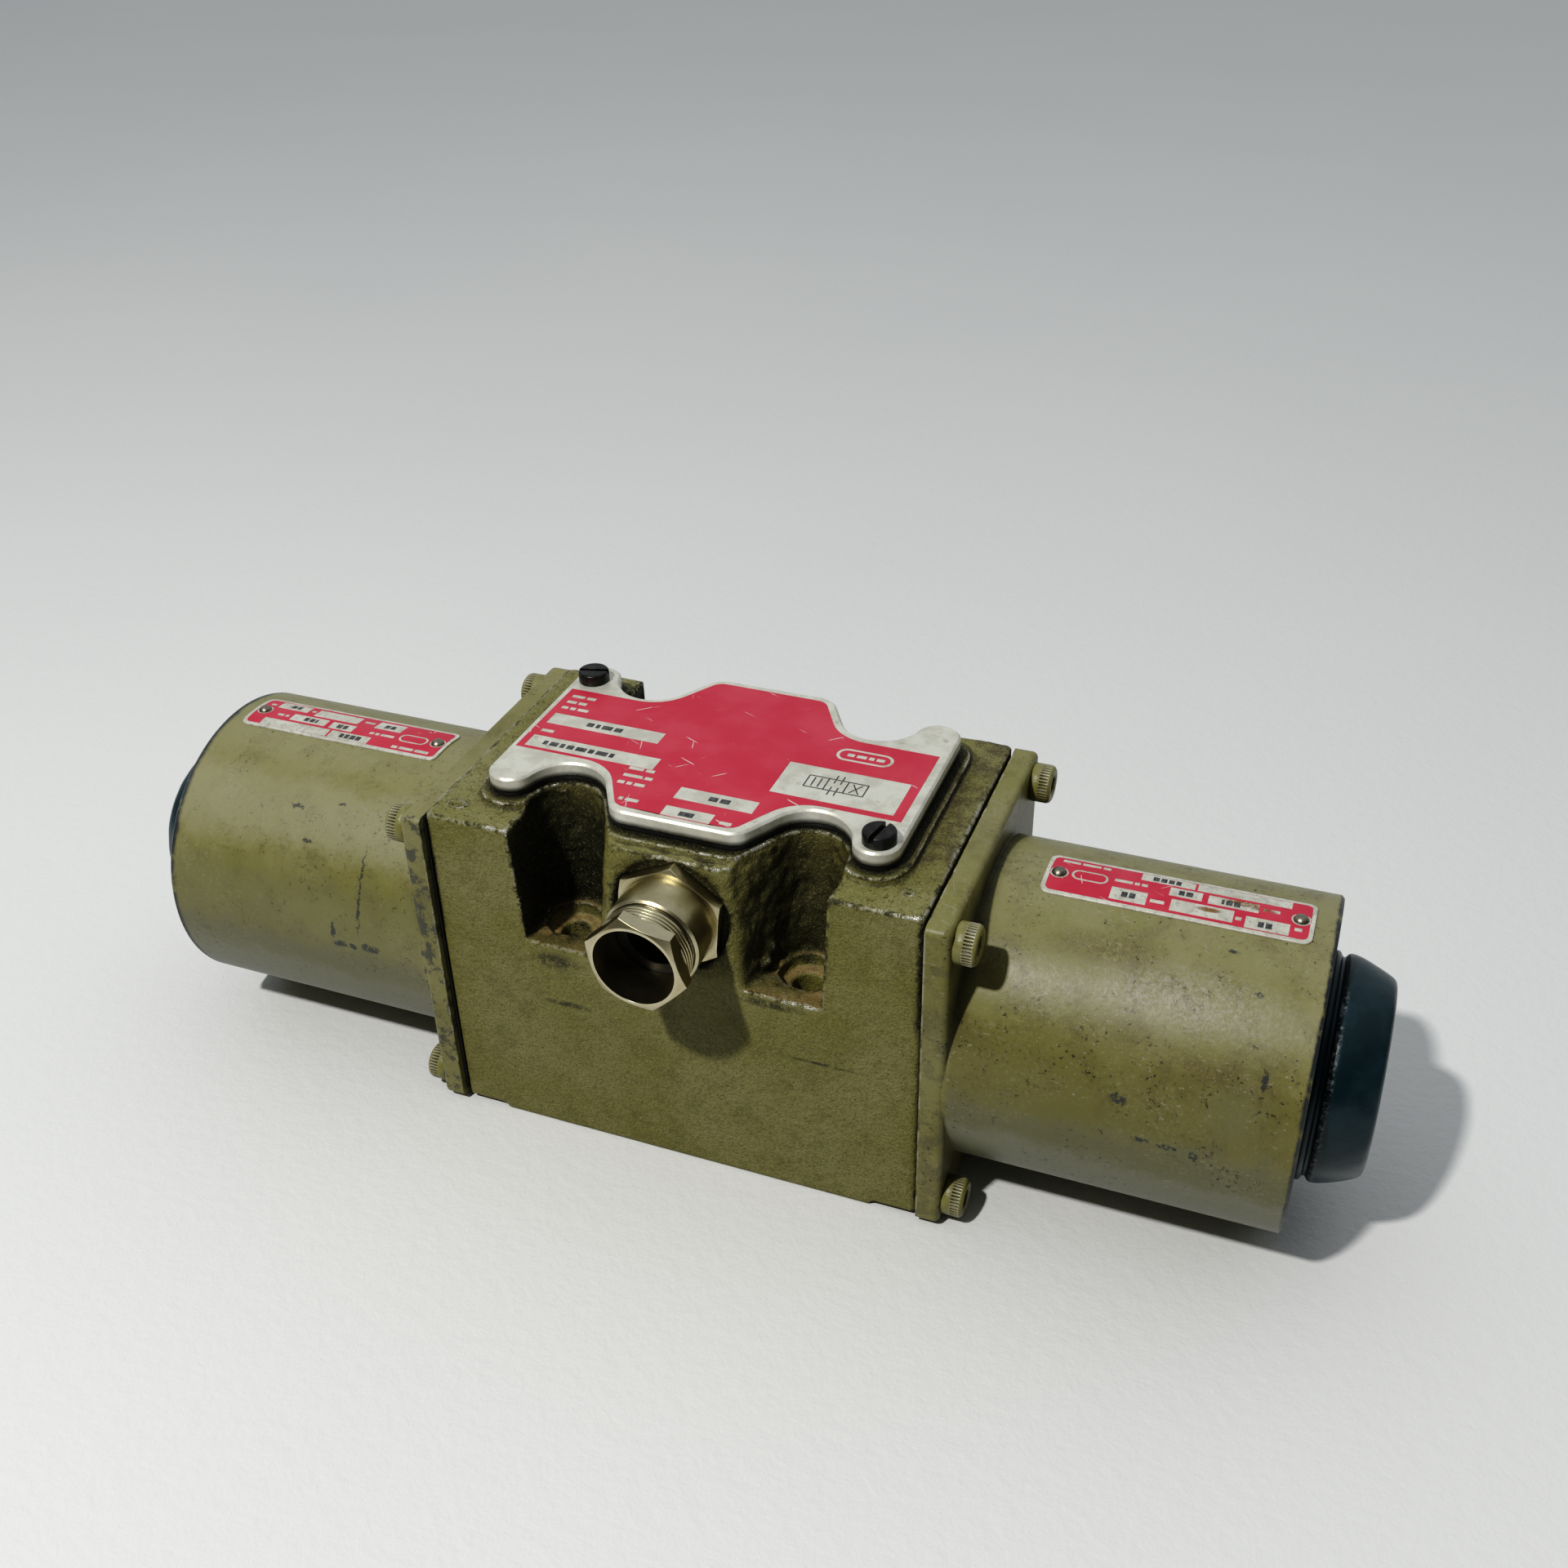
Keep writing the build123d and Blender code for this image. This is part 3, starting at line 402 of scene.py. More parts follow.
def assign(node, material):
    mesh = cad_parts[node].data
    mesh.materials.clear()
    mesh.materials.append(material)


def crimson_print():
    """Crimson screen print, scratched through to the bright metal in fine lines."""
    g = Graph("crimson_print")
    tone = g.noise(0.012, 3, 0.6)
    colour = g.mix(g.mask(tone, 0.35, 0.7), CRIMSON, CRIMSON_PALE)
    gate = g.mask(g.noise(0.014, 3, 0.7), 0.46, 0.56)
    ways = ((0.45, 0.70), (-0.7, 0.72), (1.3, 0.73))
    lines = g.brightest(*[g.scratches(turn, 0.0007, amount) for turn, amount in ways])
    nicks = g.mask(g.noise(0.0010, 4, 0.8), 0.71, 0.73)
    bare = g.brightest(g.product(lines, gate), nicks)
    colour = g.mix(bare, colour, (0.70, 0.62, 0.60))
    normal = g.bump(g.noise(0.0006, 2), 0.00001)
    return g.finish(Base_Color=colour, Roughness=0.45, Normal=normal, Specular_IOR_Level=0.30)


def boot_rubber():
    """Blue-black rubber, with grey speckles beside the groove on its front side that are partly scuffing and
    partly a painted highlight, and scuffed grey on the front of its end.
    """
    g = Graph("boot_rubber")
    x, y, z = g.axes()
    along = g.math("SUBTRACT", g.math("ABSOLUTE", x), BOOT_LOW.x)
    tone = g.noise(0.006, 4, 0.65)
    fine = g.noise(0.0009, 3, 0.7)
    colour = g.mix(g.mask(tone, 0.38, 0.66), (0.005, 0.022, 0.029), (0.012, 0.034, 0.043))
    # Grey speckles beside the groove on the front side: partly scuffing, partly a painted highlight.
    strip = g.product(g.mask(along, 0.0029, 0.0032), g.mask(along, 0.0046, 0.0036), g.mask(fine, 0.47, 0.60),
                      g.mask(y, 0.0, -0.010))
    scuff = g.product(g.mask(along, 0.0095, 0.0125), g.mask(tone, 0.44, 0.60), g.mask(fine, 0.40, 0.58),
                      g.mask(z, AXIS_Z, AXIS_Z - 0.012))
    colour = g.mix(g.product(strip, 0.75), colour, (0.30, 0.33, 0.33))
    colour = g.mix(g.product(scuff, 0.35), colour, (0.16, 0.18, 0.18))
    height = g.math("ADD", tone, g.product(fine, 0.25))
    return g.finish(Base_Color=colour, Roughness=g.scale(tone, 0.26, 0.44), Normal=g.bump(height, 0.00010),
                    Specular_IOR_Level=0.40)


def worn_aluminium(name, low, chips, stains=()):
    """Bright plate with brown smears, dark nicks and the lower part of its sides darkened to black."""
    g = Graph(name)
    x, y, z = g.axes()
    nz = g.facing()[2]
    tone = g.noise(0.005, 4, 0.65)
    colour = g.mix(g.mask(tone, 0.38, 0.66), SILVER, SILVER_DULL)
    colour = g.mix(g.product(g.mask(g.noise(0.004, 4, 0.7), 0.60, 0.72), 0.5), colour, (0.30, 0.24, 0.15))
    for at, size in stains:
        smear = g.product(g.spot(x, y, at, size, 0.5), g.mask(g.noise(0.0012, 4, 0.8), 0.38, 0.50))
        colour = g.mix(smear, colour, (0.26, 0.13, 0.045))
    nicks = g.mask(g.noise(0.0009, 4, 0.8), 0.66, 0.70)
    rubbed = g.product(g.mask(g.edges(0.0012), 0.20, 0.45), g.mask(g.noise(0.0013, 4, 0.8), 0.52, 0.60))
    chipped = g.product(rubbed, chips)
    colour = g.mix(g.product(g.brightest(nicks, chipped), 0.75), colour, (0.10, 0.09, 0.07))
    side = g.product(g.mask(g.math("ABSOLUTE", nz), 0.7, 0.4), g.mask(z, low + 0.0013, low + 0.0003))
    colour = g.mix(g.product(side, 0.8), colour, SHADE_AND_GRIME)
    normal = g.bump(g.math("ADD", tone, g.noise(0.0008, 3, 0.6)), 0.00004, g.rounded(0.0003))
    return g.finish(Base_Color=colour, Roughness=g.scale(tone, 0.34, 0.50), Metallic=0.40, Normal=normal)


def nickel_plate():
    """Nickel plate gone warm and slightly dull, darker in its grooves, with painted shade deep inside its
    bore.
    """
    g = Graph("nickel_plate")
    tone = g.noise(0.006, 3, 0.6)
    colour = g.mix(g.mask(tone, 0.35, 0.70), (0.56, 0.51, 0.34), (0.46, 0.40, 0.24))
    colour = g.mix(g.product(g.mask(g.corners(0.0025), 0.30, 0.70), 0.85), colour, (0.06, 0.045, 0.025))
    nicks = g.mask(g.noise(0.0012, 4, 0.8), 0.68, 0.72)
    colour = g.mix(g.product(nicks, 0.6), colour, (0.09, 0.07, 0.04))
    # Painted shade deep inside the nut's bore.
    deep = g.mask(g.corners(0.014), 0.42, 0.72)
    colour = g.mix(g.product(deep, 0.85), colour, (0.045, 0.042, 0.034))
    edge = g.mask(g.edges(0.0005), 0.3, 0.6)
    colour = g.mix(edge, colour, (0.72, 0.68, 0.52))
    rough = g.blend(edge, g.scale(g.noise(0.0015, 3, 0.6), 0.24, 0.38), 0.18)
    normal = g.bump(g.noise(0.0010, 3, 0.6), 0.00002, g.rounded(0.0002))
    return g.finish(Base_Color=colour, Roughness=rough, Metallic=1.0, Normal=normal)


def paint_nodes():
    both = ("a", "b")
    cast_body(cast_paint())
    for side in both:
        assign("solenoid_housing_" + side, housing_paint(side))
        assign("nameplate_" + side, worn_aluminium("label_aluminium_" + side, 0.0, 0.4, LABEL_STAINS[side]))
    gasket = plain("black_gasket", (0.012, 0.012, 0.012), (0.025, 0.025, 0.022), 0.003, (0.35, 0.6))
    rubber = boot_rubber()
    seal = plain("seal_rubber", (0.015, 0.015, 0.015), (0.03, 0.03, 0.03), 0.002, (0.4, 0.6))
    nickel = nickel_plate()
    cover = worn_aluminium("cover_aluminium", COVER_LOW.z, 1.0)
    black = plain("black_screw_steel", (0.020, 0.020, 0.019), (0.04, 0.04, 0.035), 0.002, (0.25, 0.42), 0.6)
    screw = plain("painted_screw", OLIVE, OLIVE_LIGHT, 0.002, (0.3, 0.5))
    steel = plain("ground_steel", (0.55, 0.55, 0.53), (0.46, 0.46, 0.45), 0.003, (0.15, 0.28), 1.0)
    iron = plain("core_iron", (0.32, 0.31, 0.30), (0.24, 0.23, 0.22), 0.003, (0.3, 0.5), 1.0)
    copper = plain("copper_wire", (0.62, 0.24, 0.10), (0.48, 0.17, 0.07), 0.001, (0.25, 0.4), 1.0)
    plastic = plain("moulded_plastic", (0.03, 0.03, 0.028), (0.05, 0.05, 0.045), 0.003, (0.4, 0.6))
    brass = plain("brass", (0.60, 0.44, 0.16), (0.50, 0.35, 0.12), 0.002, (0.25, 0.4), 1.0)
    lead = plain("lead_insulation", (0.10, 0.10, 0.10), (0.14, 0.14, 0.13), 0.002, (0.4, 0.6))
    rivet = plain("rivet_steel", (0.20, 0.19, 0.16), (0.30, 0.28, 0.22), 0.001, (0.25, 0.4), 0.9)
    crimson = crimson_print()
    knurl = worn_knurl()
    ink = plain("stamped_black", (0.030, 0.030, 0.032), (0.10, 0.10, 0.10), 0.0008, (0.4, 0.6))
    cover_print(crimson, ink)
    for side in both:
        cap_screws(side, screw, knurl)
        boot(side, rubber)
        spring(side, steel)
        plate_print(side, crimson, ink)
    table = {
        gasket: ["cover_gasket"],
        seal: ["port_seals", "gland_seal"],
        cover: ["cover_plate"],
        black: ["cover_screws"],
        nickel: ["gland_body", "gland_nut"],
        plastic: ["terminal_block"],
        brass: ["terminal_screws"],
        steel: ["spool"],
    }
    sided = {
        gasket: ["flange_gasket"],
        seal: ["pole_seal"],
        rubber: ["rubber_boot"],
        screw: ["flange_screws"],
        iron: ["pole_piece", "armature", "tube_plug", "end_plate"],
        steel: ["guide_tube", "push_rod", "override_pin", "spring_plate"],
        plastic: ["coil_bobbin"],
        copper: ["coil_winding"],
        lead: ["coil_leads"],
        rivet: ["nameplate_rivets"],
    }
    for material, nodes in table.items():
        for node in nodes:
            assign(node, material)
    for material, nodes in sided.items():
        for node in nodes:
            for side in both:
                assign(f"{node}_{side}", material)


# ---- mesh helpers --------------------------------------------------------
def add_piece(name, shape, material, smooth_below=35.0):
    """Turns a bmesh into a finished piece with soft shading across its shallow edges."""
    bmesh.ops.recalc_face_normals(shape, faces=shape.faces[:])
    mesh = bpy.data.meshes.new(name)
    shape.to_mesh(mesh)
    shape.free()
    mesh.materials.append(material)
    mesh.shade_smooth()
    mesh.set_sharp_from_angle(angle=radians(smooth_below))
    piece = bpy.data.objects.new(name, mesh)
    bpy.context.scene.collection.objects.link(piece)
    return piece


def finish_piece(piece, body, slot, *nodes):
    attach(piece, body)
    if nodes:
        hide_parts(*nodes)


def lathe(shape, stations, segments, y, z, sign=1.0):
    """Turns stations (x, radius) about the X line through (y, z); a radius may be a function of angle."""
    rings = []
    for x, radius in stations:
        if radius == 0:
            rings.append([shape.verts.new((sign * x, y, z))])
            continue
        ring = []
        for i in range(segments):
            angle = 2 * pi * i / segments
            r = radius(angle) if callable(radius) else radius
            ring.append(shape.verts.new((sign * x, y + r * cos(angle), z + r * sin(angle))))
        rings.append(ring)
    for near, far in zip(rings, rings[1:]):
        for i in range(segments):
            j = (i + 1) % segments
            corners = [near[i % len(near)], near[j % len(near)], far[j % len(far)], far[i % len(far)]]
            unique = list(dict.fromkeys(corners))
            if len(unique) > 2:
                shape.faces.new(unique)


def sheet(shape, loops, low, high):
    """A flat layer between two heights; the first loop is its outline and the others are holes."""
    points = [[Vector((x, y, 0.0)) for x, y in loop] for loop in loops]
    triangles = tessellate_polygon(points)
    under = [shape.verts.new((p.x, p.y, low)) for loop in points for p in loop]
    over = [shape.verts.new((p.x, p.y, high)) for loop in points for p in loop]
    for a, b, c in triangles:
        shape.faces.new((over[a], over[b], over[c]))
        shape.faces.new((under[c], under[b], under[a]))
    start = 0
    for loop in points:
        for i in range(len(loop)):
            a, b = start + i, start + (i + 1) % len(loop)
            shape.faces.new((under[a], under[b], over[b], over[a]))
        start += len(loop)


def arc(cx, cy, r, start, end, steps=8):
    angles = [radians(start + (end - start) * i / steps) for i in range(steps + 1)]
    return [(cx + r * cos(a), cy + r * sin(a)) for a in angles]


def rounded_box(x0, x1, y0, y1, r):
    corners = ((x1 - r, y1 - r, 0), (x0 + r, y1 - r, 90), (x0 + r, y0 + r, 180), (x1 - r, y0 + r, 270))
    return [p for cx, cy, a in corners for p in arc(cx, cy, r, a, a + 90, 5)]


def stroke(x0, y0, x1, y1, width):
    along = Vector((x1 - x0, y1 - y0)).normalized()
    dx, dy = -along.y * width / 2, along.x * width / 2
    return [(x0 + dx, y0 + dy), (x0 - dx, y0 - dy), (x1 - dx, y1 - dy), (x1 + dx, y1 + dy)]


def dashes(x, y, lengths, height, gap=0.5):
    """A row of plain bars, standing for a line of small print."""
    row = []
    for length in lengths:
        row.append([(x, y), (x + length, y), (x + length, y + height), (x, y + height)])
        x += length + gap
    return row


def in_metres(loop, turn=0.0, centre=(0.0, 0.0)):
    """Millimetres about a centre, turned by degrees, as metres."""
    c, s = cos(radians(turn)), sin(radians(turn))
    return [((x * c - y * s + centre[0]) * MM, (x * s + y * c + centre[1]) * MM) for x, y in loop]


# ---- cast body -----------------------------------------------------------
CAST_VOXEL, CAST_PASSES = 0.45 * MM, 5
RECESS_X, RECESS_Y = 36.0 * MM, 15.0 * MM
EAR_RINGS = [(-49.6, -28.2, 2.1, 1.35), (49.2, -26.6, 1.1, 1.0)]
CAST_LUMPS = [((17.2, -22.6, 57.0), 3.4, 1.5), ((18.6, -25.6, 54.5), 2.2, 1.2),
              ((-18.4, -20.0, 56.0), 3.0, 0.7), ((-33.0, -24.0, 53.5), 2.6, 0.9),
              ((33.4, -27.0, 53.0), 2.4, 0.8), ((12.0, -30.2, 55.0), 2.0, 0.6)]


def wobble(place, size):
    return noise.noise(place / (size * MM))


def ring_height(x, y, cx, cy, rx, ry):
    """A raised oval line on top of an ear."""
    off = abs(sqrt(((x - cx * MM) / (rx * MM)) ** 2 + ((y - cy * MM) / (ry * MM)) ** 2) - 1.0) * ry
    return 0.55 * max(0.0, 1.0 - off / 0.60)


def cast_relief(place, facing):
    """How far, in millimetres, the rough casting stands out from the drawn surface."""
    x, y, z = place
    inner = abs(x) < RECESS_X and abs(y) > RECESS_Y and RECESS_FLOOR - 0.6 * MM < z < COVER_LOW.z - 3 * MM
    front = abs(facing.y) > 0.9 and abs(y) > 0.0325
    if inner and not front:
        rise = 0.50 * wobble(place, 6.0) + 0.34 * wobble(place, 2.6) + 0.14 * wobble(place, 1.2)
        for centre, reach, height in CAST_LUMPS:
            far = (place - Vector(centre) * MM).length / (reach * MM)
            rise += height * max(0.0, 1.0 - far * far) ** 2
        inset = min(1.0, max(0.0, (BODY_HIGH.y - abs(y)) / (4.5 * MM)))
        return rise * (0.22 + 0.78 * inset)
    if front:
        return -0.03 + 0.09 * wobble(place, 14.0) + 0.035 * wobble(place, 2.6) + 0.02 * wobble(place, 1.1)
    if facing.z > 0.5 and z > 0.078:
        rise = -0.05 + 0.12 * wobble(place, 5.0) + 0.07 * wobble(place, 1.5)
        if z < 0.0806 and y < -0.02:
            rise += sum(ring_height(x, y, *ring) for ring in EAR_RINGS)
        return rise
    return 0.0


def cast_body(material):
    """The body as a sand casting: corners rounded, faces slightly uneven, recesses rough."""
    piece = bpy.data.objects.new("cast_body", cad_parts["valve_body"].data.copy())
    bpy.context.scene.collection.objects.link(piece)
    even = piece.modifiers.new("even", "REMESH")
    even.mode = "VOXEL"
    even.voxel_size = CAST_VOXEL
    soften = piece.modifiers.new("soften", "SMOOTH")
    soften.factor = 0.5
    soften.iterations = CAST_PASSES
    bpy.context.view_layer.update()
    mesh = bpy.data.meshes.new_from_object(piece.evaluated_get(bpy.context.evaluated_depsgraph_get()))
    piece.modifiers.clear()
    piece.data = mesh
    moves = [cast_relief(vert.co, vert.normal) for vert in mesh.vertices]
    normals = [vert.normal.copy() for vert in mesh.vertices]
    for vert, normal, move in zip(mesh.vertices, normals, moves):
        vert.co += normal * move * MM
    mesh.materials.clear()
    mesh.materials.append(material)
    mesh.shade_smooth()
    finish_piece(piece, "valve", "cast_body", "valve_body")


# ---- screws and boots ----------------------------------------------------
SCREW_HEAD_R, SCREW_SHANK_R, SCREW_HEAD = 4.25 * MM, 2.45 * MM, 4.6 * MM
KNURL_TEETH, KNURL_DEPTH = 36, 0.32 * MM
SOCKET_APOTHEM, SOCKET_DEPTH = 2.0 * MM, 2.6 * MM


def knurled(radius):
    return lambda angle: radius - KNURL_DEPTH * (0.5 - 0.5 * cos(KNURL_TEETH * angle))


def hexagon(apothem, turn):
    return lambda angle: apothem / cos((angle + turn) % radians(60) - radians(30))


def screw_radius(place):
    """Distance of a point from the line of the screw it belongs to."""
    lines = [(y, z) for y in (SCREWS_LOW.y + SCREW_HEAD_R, SCREWS_HIGH.y - SCREW_HEAD_R)
             for z in (SCREWS_LOW.z + SCREW_HEAD_R, SCREWS_HIGH.z - SCREW_HEAD_R)]
    return min(hypot(place.y - y, place.z - z) for y, z in lines)


def worn_knurl():
    """Steel teeth with paint left in the valleys between them."""
    g = Graph("worn_knurl")
    bare = g.product(g.ridges(0.50, 0.55), g.mask(g.noise(0.004, 3, 0.6), 0.32, 0.44))
    colour = g.mix(bare, g.mix(g.ridges(0.44, 0.50), SHADE_AND_GRIME, OLIVE), (0.72, 0.66, 0.56))
    return g.finish(Base_Color=colour, Roughness=g.blend(bare, 0.5, 0.28), Metallic=g.product(bare, 0.9))


def cap_screws(side, material, knurl):
    """Four socket head screws: a smooth collar, a knurled band, a turned lip and a hexagon socket."""
    sign = 1.0 if side == "b" else -1.0
    end, top = SCREWS_LOW.x, SCREWS_HIGH.x
    seat = top - SCREW_HEAD
    shape = bmesh.new()
    band = (seat + 1.9 * MM, top - 0.7 * MM)
    for i, y in enumerate((SCREWS_LOW.y + SCREW_HEAD_R, SCREWS_HIGH.y - SCREW_HEAD_R)):
        for j, z in enumerate((SCREWS_LOW.z + SCREW_HEAD_R, SCREWS_HIGH.z - SCREW_HEAD_R)):
            socket = hexagon(SOCKET_APOTHEM, radians(17 * i + 29 * j + 8))
            r = SCREW_HEAD_R
            stations = [(end, 0), (end, SCREW_SHANK_R), (seat, SCREW_SHANK_R), (seat, r - 0.25 * MM),
                        (seat + 0.25 * MM, r), (seat + 1.9 * MM, r), (seat + 2.05 * MM, knurled(r)),
                        (top - 0.85 * MM, knurled(r)), (top - 0.70 * MM, r - 0.12 * MM),
                        (top - 0.35 * MM, r - 0.25 * MM), (top, r - 0.75 * MM), (top, 2.75 * MM),
                        (top - 0.30 * MM, socket), (top - SOCKET_DEPTH, socket), (top - SOCKET_DEPTH - MM, 0)]
            lathe(shape, stations, KNURL_TEETH * 4, y, z, sign)
    for face in shape.faces:
        middle = face.calc_center_median()
        on_band = band[0] < abs(middle.x) < band[1] and screw_radius(middle) > SCREW_HEAD_R * 0.8
        face.material_index = int(on_band)
    piece = add_piece("cap_screws_" + side, shape, material, 50)
    piece.data.materials.append(knurl)
    finish_piece(piece, "valve", "painted_screw", "flange_screws_" + side)


def boot(side, material):
    """Moulded rubber cap: a rolled lip, a groove and a tapering drum with an uneven flat end."""
    sign = 1.0 if side == "b" else -1.0
    x0, x1 = BOOT_LOW.x, BOOT_HIGH.x
    r = BOOT_HIGH.z - AXIS_Z
    wall, nose_wall = 3.4 * MM, 2.0 * MM
    inner_x = 7.0 * MM
    outside = [(0.0, -0.30), (1.05, 0.0), (1.75, -0.30), (2.05, -1.3), (2.75, -1.3), (3.10, -0.40),
               (3.8, -0.15), (5.4, -0.35), (7.0, -0.80), (8.8, -1.40), (10.6, -2.1), (11.8, -2.65),
               (12.6, -3.1), (13.1, -3.7), (13.35, -4.6), (13.35, -7.0), (13.1, -10.0), (13.0, -18.0)]
    reach = (x1 - x0) / MM
    stations = [(x0 + min(dx, reach - 0.05) * MM, r + dr * MM) for dx, dr in outside]
    stations.append((x1 - 0.2 * MM, 0))
    inside = [(x1 - nose_wall, 0), (x1 - nose_wall, r - 8.2 * MM), (x0 + inner_x, r - wall), (x0, r - wall)]
    shape = bmesh.new()
    lathe(shape, stations, 128, 0.0, AXIS_Z, sign)
    first = len(shape.verts)
    lathe(shape, inside, 128, 0.0, AXIS_Z, sign)
    shape.verts.ensure_lookup_table()
    lip, mouth = shape.verts[:128], shape.verts[len(shape.verts) - 128:]
    for i in range(128):
        j = (i + 1) % 128
        shape.faces.new((lip[i], lip[j], mouth[j], mouth[i]))
    for vert in shape.verts[:first]:
        out = Vector((0.0, vert.co.y, vert.co.z - AXIS_Z))
        share = max(0.0, min(1.0, (abs(vert.co.x) - x0 - 3 * MM) / (9 * MM)))
        lump = noise.noise(vert.co * 90.0) + 0.5 * noise.noise(vert.co * 260.0)
        if out.length > 1e-4:
            vert.co -= out.normalized() * (0.08 + 0.26 * share) * MM * (1.0 + lump)
    piece = add_piece("boot_" + side, shape, material, 60)
    piece.modifiers.new("round", "SUBSURF").levels = 1
    piece.modifiers["round"].render_levels = 1
    finish_piece(piece, "valve", "boot", "rubber_boot_" + side)


def spring(side, material):
    """Coil between its seat in the valve and the plate on the spool, copied as it stands, though the real
    spring shortens and lengthens.
    """
    piece = bpy.data.objects.new("spring_" + side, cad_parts["centring_spring_" + side].data.copy())
    bpy.context.scene.collection.objects.link(piece)
    piece.data.materials.clear()
    piece.data.materials.append(material)
    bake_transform(piece)
    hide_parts("centring_spring_" + side)


# ---- printed cover -------------------------------------------------------
PRINT_TURN, PRINT_CENTRE = -0.6, (-0.4, COVER_Y / MM)
SCALLOP, SCALLOP_R = (27.0, 23.75), 8.86
PRINT_INSET, TONGUE_Y, TONGUE_CORNER_R = 1.8, 28.5, 3.2
PRINT_HALF_LENGTH = 43.6
INK_LOW, INK_HIGH = 0.010 * MM, 0.050 * MM


def print_outline():
    """The printed field: a tongue front and back, hollow shoulders and square ends."""
    r = SCALLOP_R + PRINT_INSET
    top = TONGUE_Y - PRINT_INSET
    foot_x, foot_y = SCALLOP[0] + r * cos(radians(210)), SCALLOP[1] + r * sin(radians(210))
    corner_x = foot_x - (top - foot_y) / sqrt(3)
    flat_x = corner_x - TONGUE_CORNER_R / sqrt(3)
    quarter = arc(flat_x, top - TONGUE_CORNER_R, TONGUE_CORNER_R, 90, 30)
    quarter += arc(*SCALLOP, r, 210, 270) + [(PRINT_HALF_LENGTH, SCALLOP[1] - r)]
    half = quarter + [(x, -y) for x, y in reversed(quarter)]
    return half + [(-x, y) for x, y in reversed(half)]


def valve_symbol(x, y, size):
    """Three squares with plain flow lines, the general sign for a three-position valve."""
    w = 0.28
    lines = []
    for i in range(3):
        left = x + i * size
        corners = [(left, y), (left + size, y), (left + size, y + size), (left, y + size)]
        for a, b in zip(corners, corners[1:] + corners[:1]):
            lines.append(stroke(*a, *b, w))
    third = size / 3
    for dx in (third, 2 * third):
        lines.append(stroke(x + dx, y + 0.5, x + dx, y + size - 0.5, w))
        lines.append(stroke(x + size + dx, y + 0.3, x + size + dx, y + third, w))
        lines.append(stroke(x + size + dx, y + size - 0.3, x + size + dx, y + size - third, w))
        lines.append(stroke(x + size + dx, y + size, x + size + dx, y + size + 1.6, w))
        lines.append(stroke(x + size + dx, y - 1.6, x + size + dx, y, w))
    cross = (x + 2 * size + third * 0.8, x + 3 * size - third * 0.8)
    lines.append(stroke(cross[0], y + 0.5, cross[1], y + size - 0.5, w))
    lines.append(stroke(cross[1], y + 0.5, cross[0], y + size - 0.5, w))
    return lines


COVER_BOXES = [(-42.0, -15.0, -2.3, 2.2), (-42.0, -11.5, -12.2, -7.6), (-3.0, 14.5, -20.4, -16.0),
               (-3.0, 7.8, -26.9, -23.2), (14.6, 41.4, -11.4, 0.8)]
COVER_WORDS = [(-42.0, 9.6, (3.2, 2.2)), (-42.0, 7.0, (2.4, 2.0)), (-42.0, 4.4, (1.6, 1.4, 2.6)),
               (-41.5, -5.9, (3.0,)), (-16.5, -13.4, (3.4, 2.0)), (-16.5, -16.2, (4.4, 1.8)),
               (-16.5, -19.0, (1.6, 1.2, 2.4)), (-13.5, -24.6, (1.0, 3.0)), (9.6, -26.0, (2.6,))]
COVER_STAMPS = [(-33.0, -0.8, (1.6, 0.9, 2.4, 1.8)), (-38.5, -10.7, (1.0, 1.9, 1.0, 1.6, 2.4, 1.2, 2.6, 1.0)),
                (4.2, -18.9, (1.9, 2.1)), (0.6, -25.9, (3.2,))]


def cover_print(crimson, ink):
    z = COVER_HIGH.z
    place = {"turn": PRINT_TURN, "centre": PRINT_CENTRE}
    holes = [[(x0, y0), (x1, y0), (x1, y1), (x0, y1)] for x0, x1, y0, y1 in COVER_BOXES]
    for x, y, lengths in COVER_WORDS:
        holes += dashes(x, y, lengths, 1.15)
    badge = rounded_box(22.6, 35.2, 5.0, 9.8, 2.3)
    field = bmesh.new()
    loops = [in_metres(loop, **place) for loop in [print_outline(), *holes, badge]]
    sheet(field, loops, z + INK_LOW, z + INK_HIGH)
    inner = [rounded_box(23.3, 34.5, 5.7, 9.1, 1.65), *dashes(25.0, 6.8, (1.6, 2.2, 1.2, 1.8), 1.2)]
    sheet(field, [in_metres(loop, **place) for loop in inner], z + INK_LOW, z + INK_HIGH)
    finish_piece(add_piece("cover_print", field, crimson), "valve", "cover")
    marks = [mark for x, y, lengths in COVER_STAMPS for mark in dashes(x, y, lengths, 1.5, 0.6)]
    marks += valve_symbol(20.4, -7.0, 4.3)
    stamped = bmesh.new()
    for i, mark in enumerate(marks):
        rise = 0.0004 * MM * (i % 7)
        sheet(stamped, [in_metres(mark, **place)], z + INK_LOW + rise, z + INK_HIGH + rise)
    finish_piece(add_piece("cover_stamping", stamped, ink), "valve", "cover")


# ---- printed nameplates --------------------------------------------------
PLATE_LENGTH, PLATE_WIDTH, PLATE_BORDER = 53.0, 13.0, 0.9
PLATE_TILT = {"a": -2.8, "b": 0.8}
PLATE_BOXES = [(18.7, 29.4, 0.9, 3.6), (29.9, 48.2, 0.9, 3.6), (24.8, 31.2, 4.1, 7.0), (32.4, 42.2, 4.3, 7.2),
               (13.7, 20.9, 7.7, 11.4), (25.6, 37.8, 7.9, 11.4), (40.1, 48.5, 8.6, 11.9)]
PLATE_WORDS = [(2.6, 1.5, (3.6, 3.8, 1.6)), (13.8, 4.9, (3.6, 1.0, 1.2)), (21.6, 9.2, (2.8,)),
               (43.0, 5.2, (1.0, 1.8)), (49.4, 9.2, (1.4,)), (38.2, 9.4, (1.2,))]
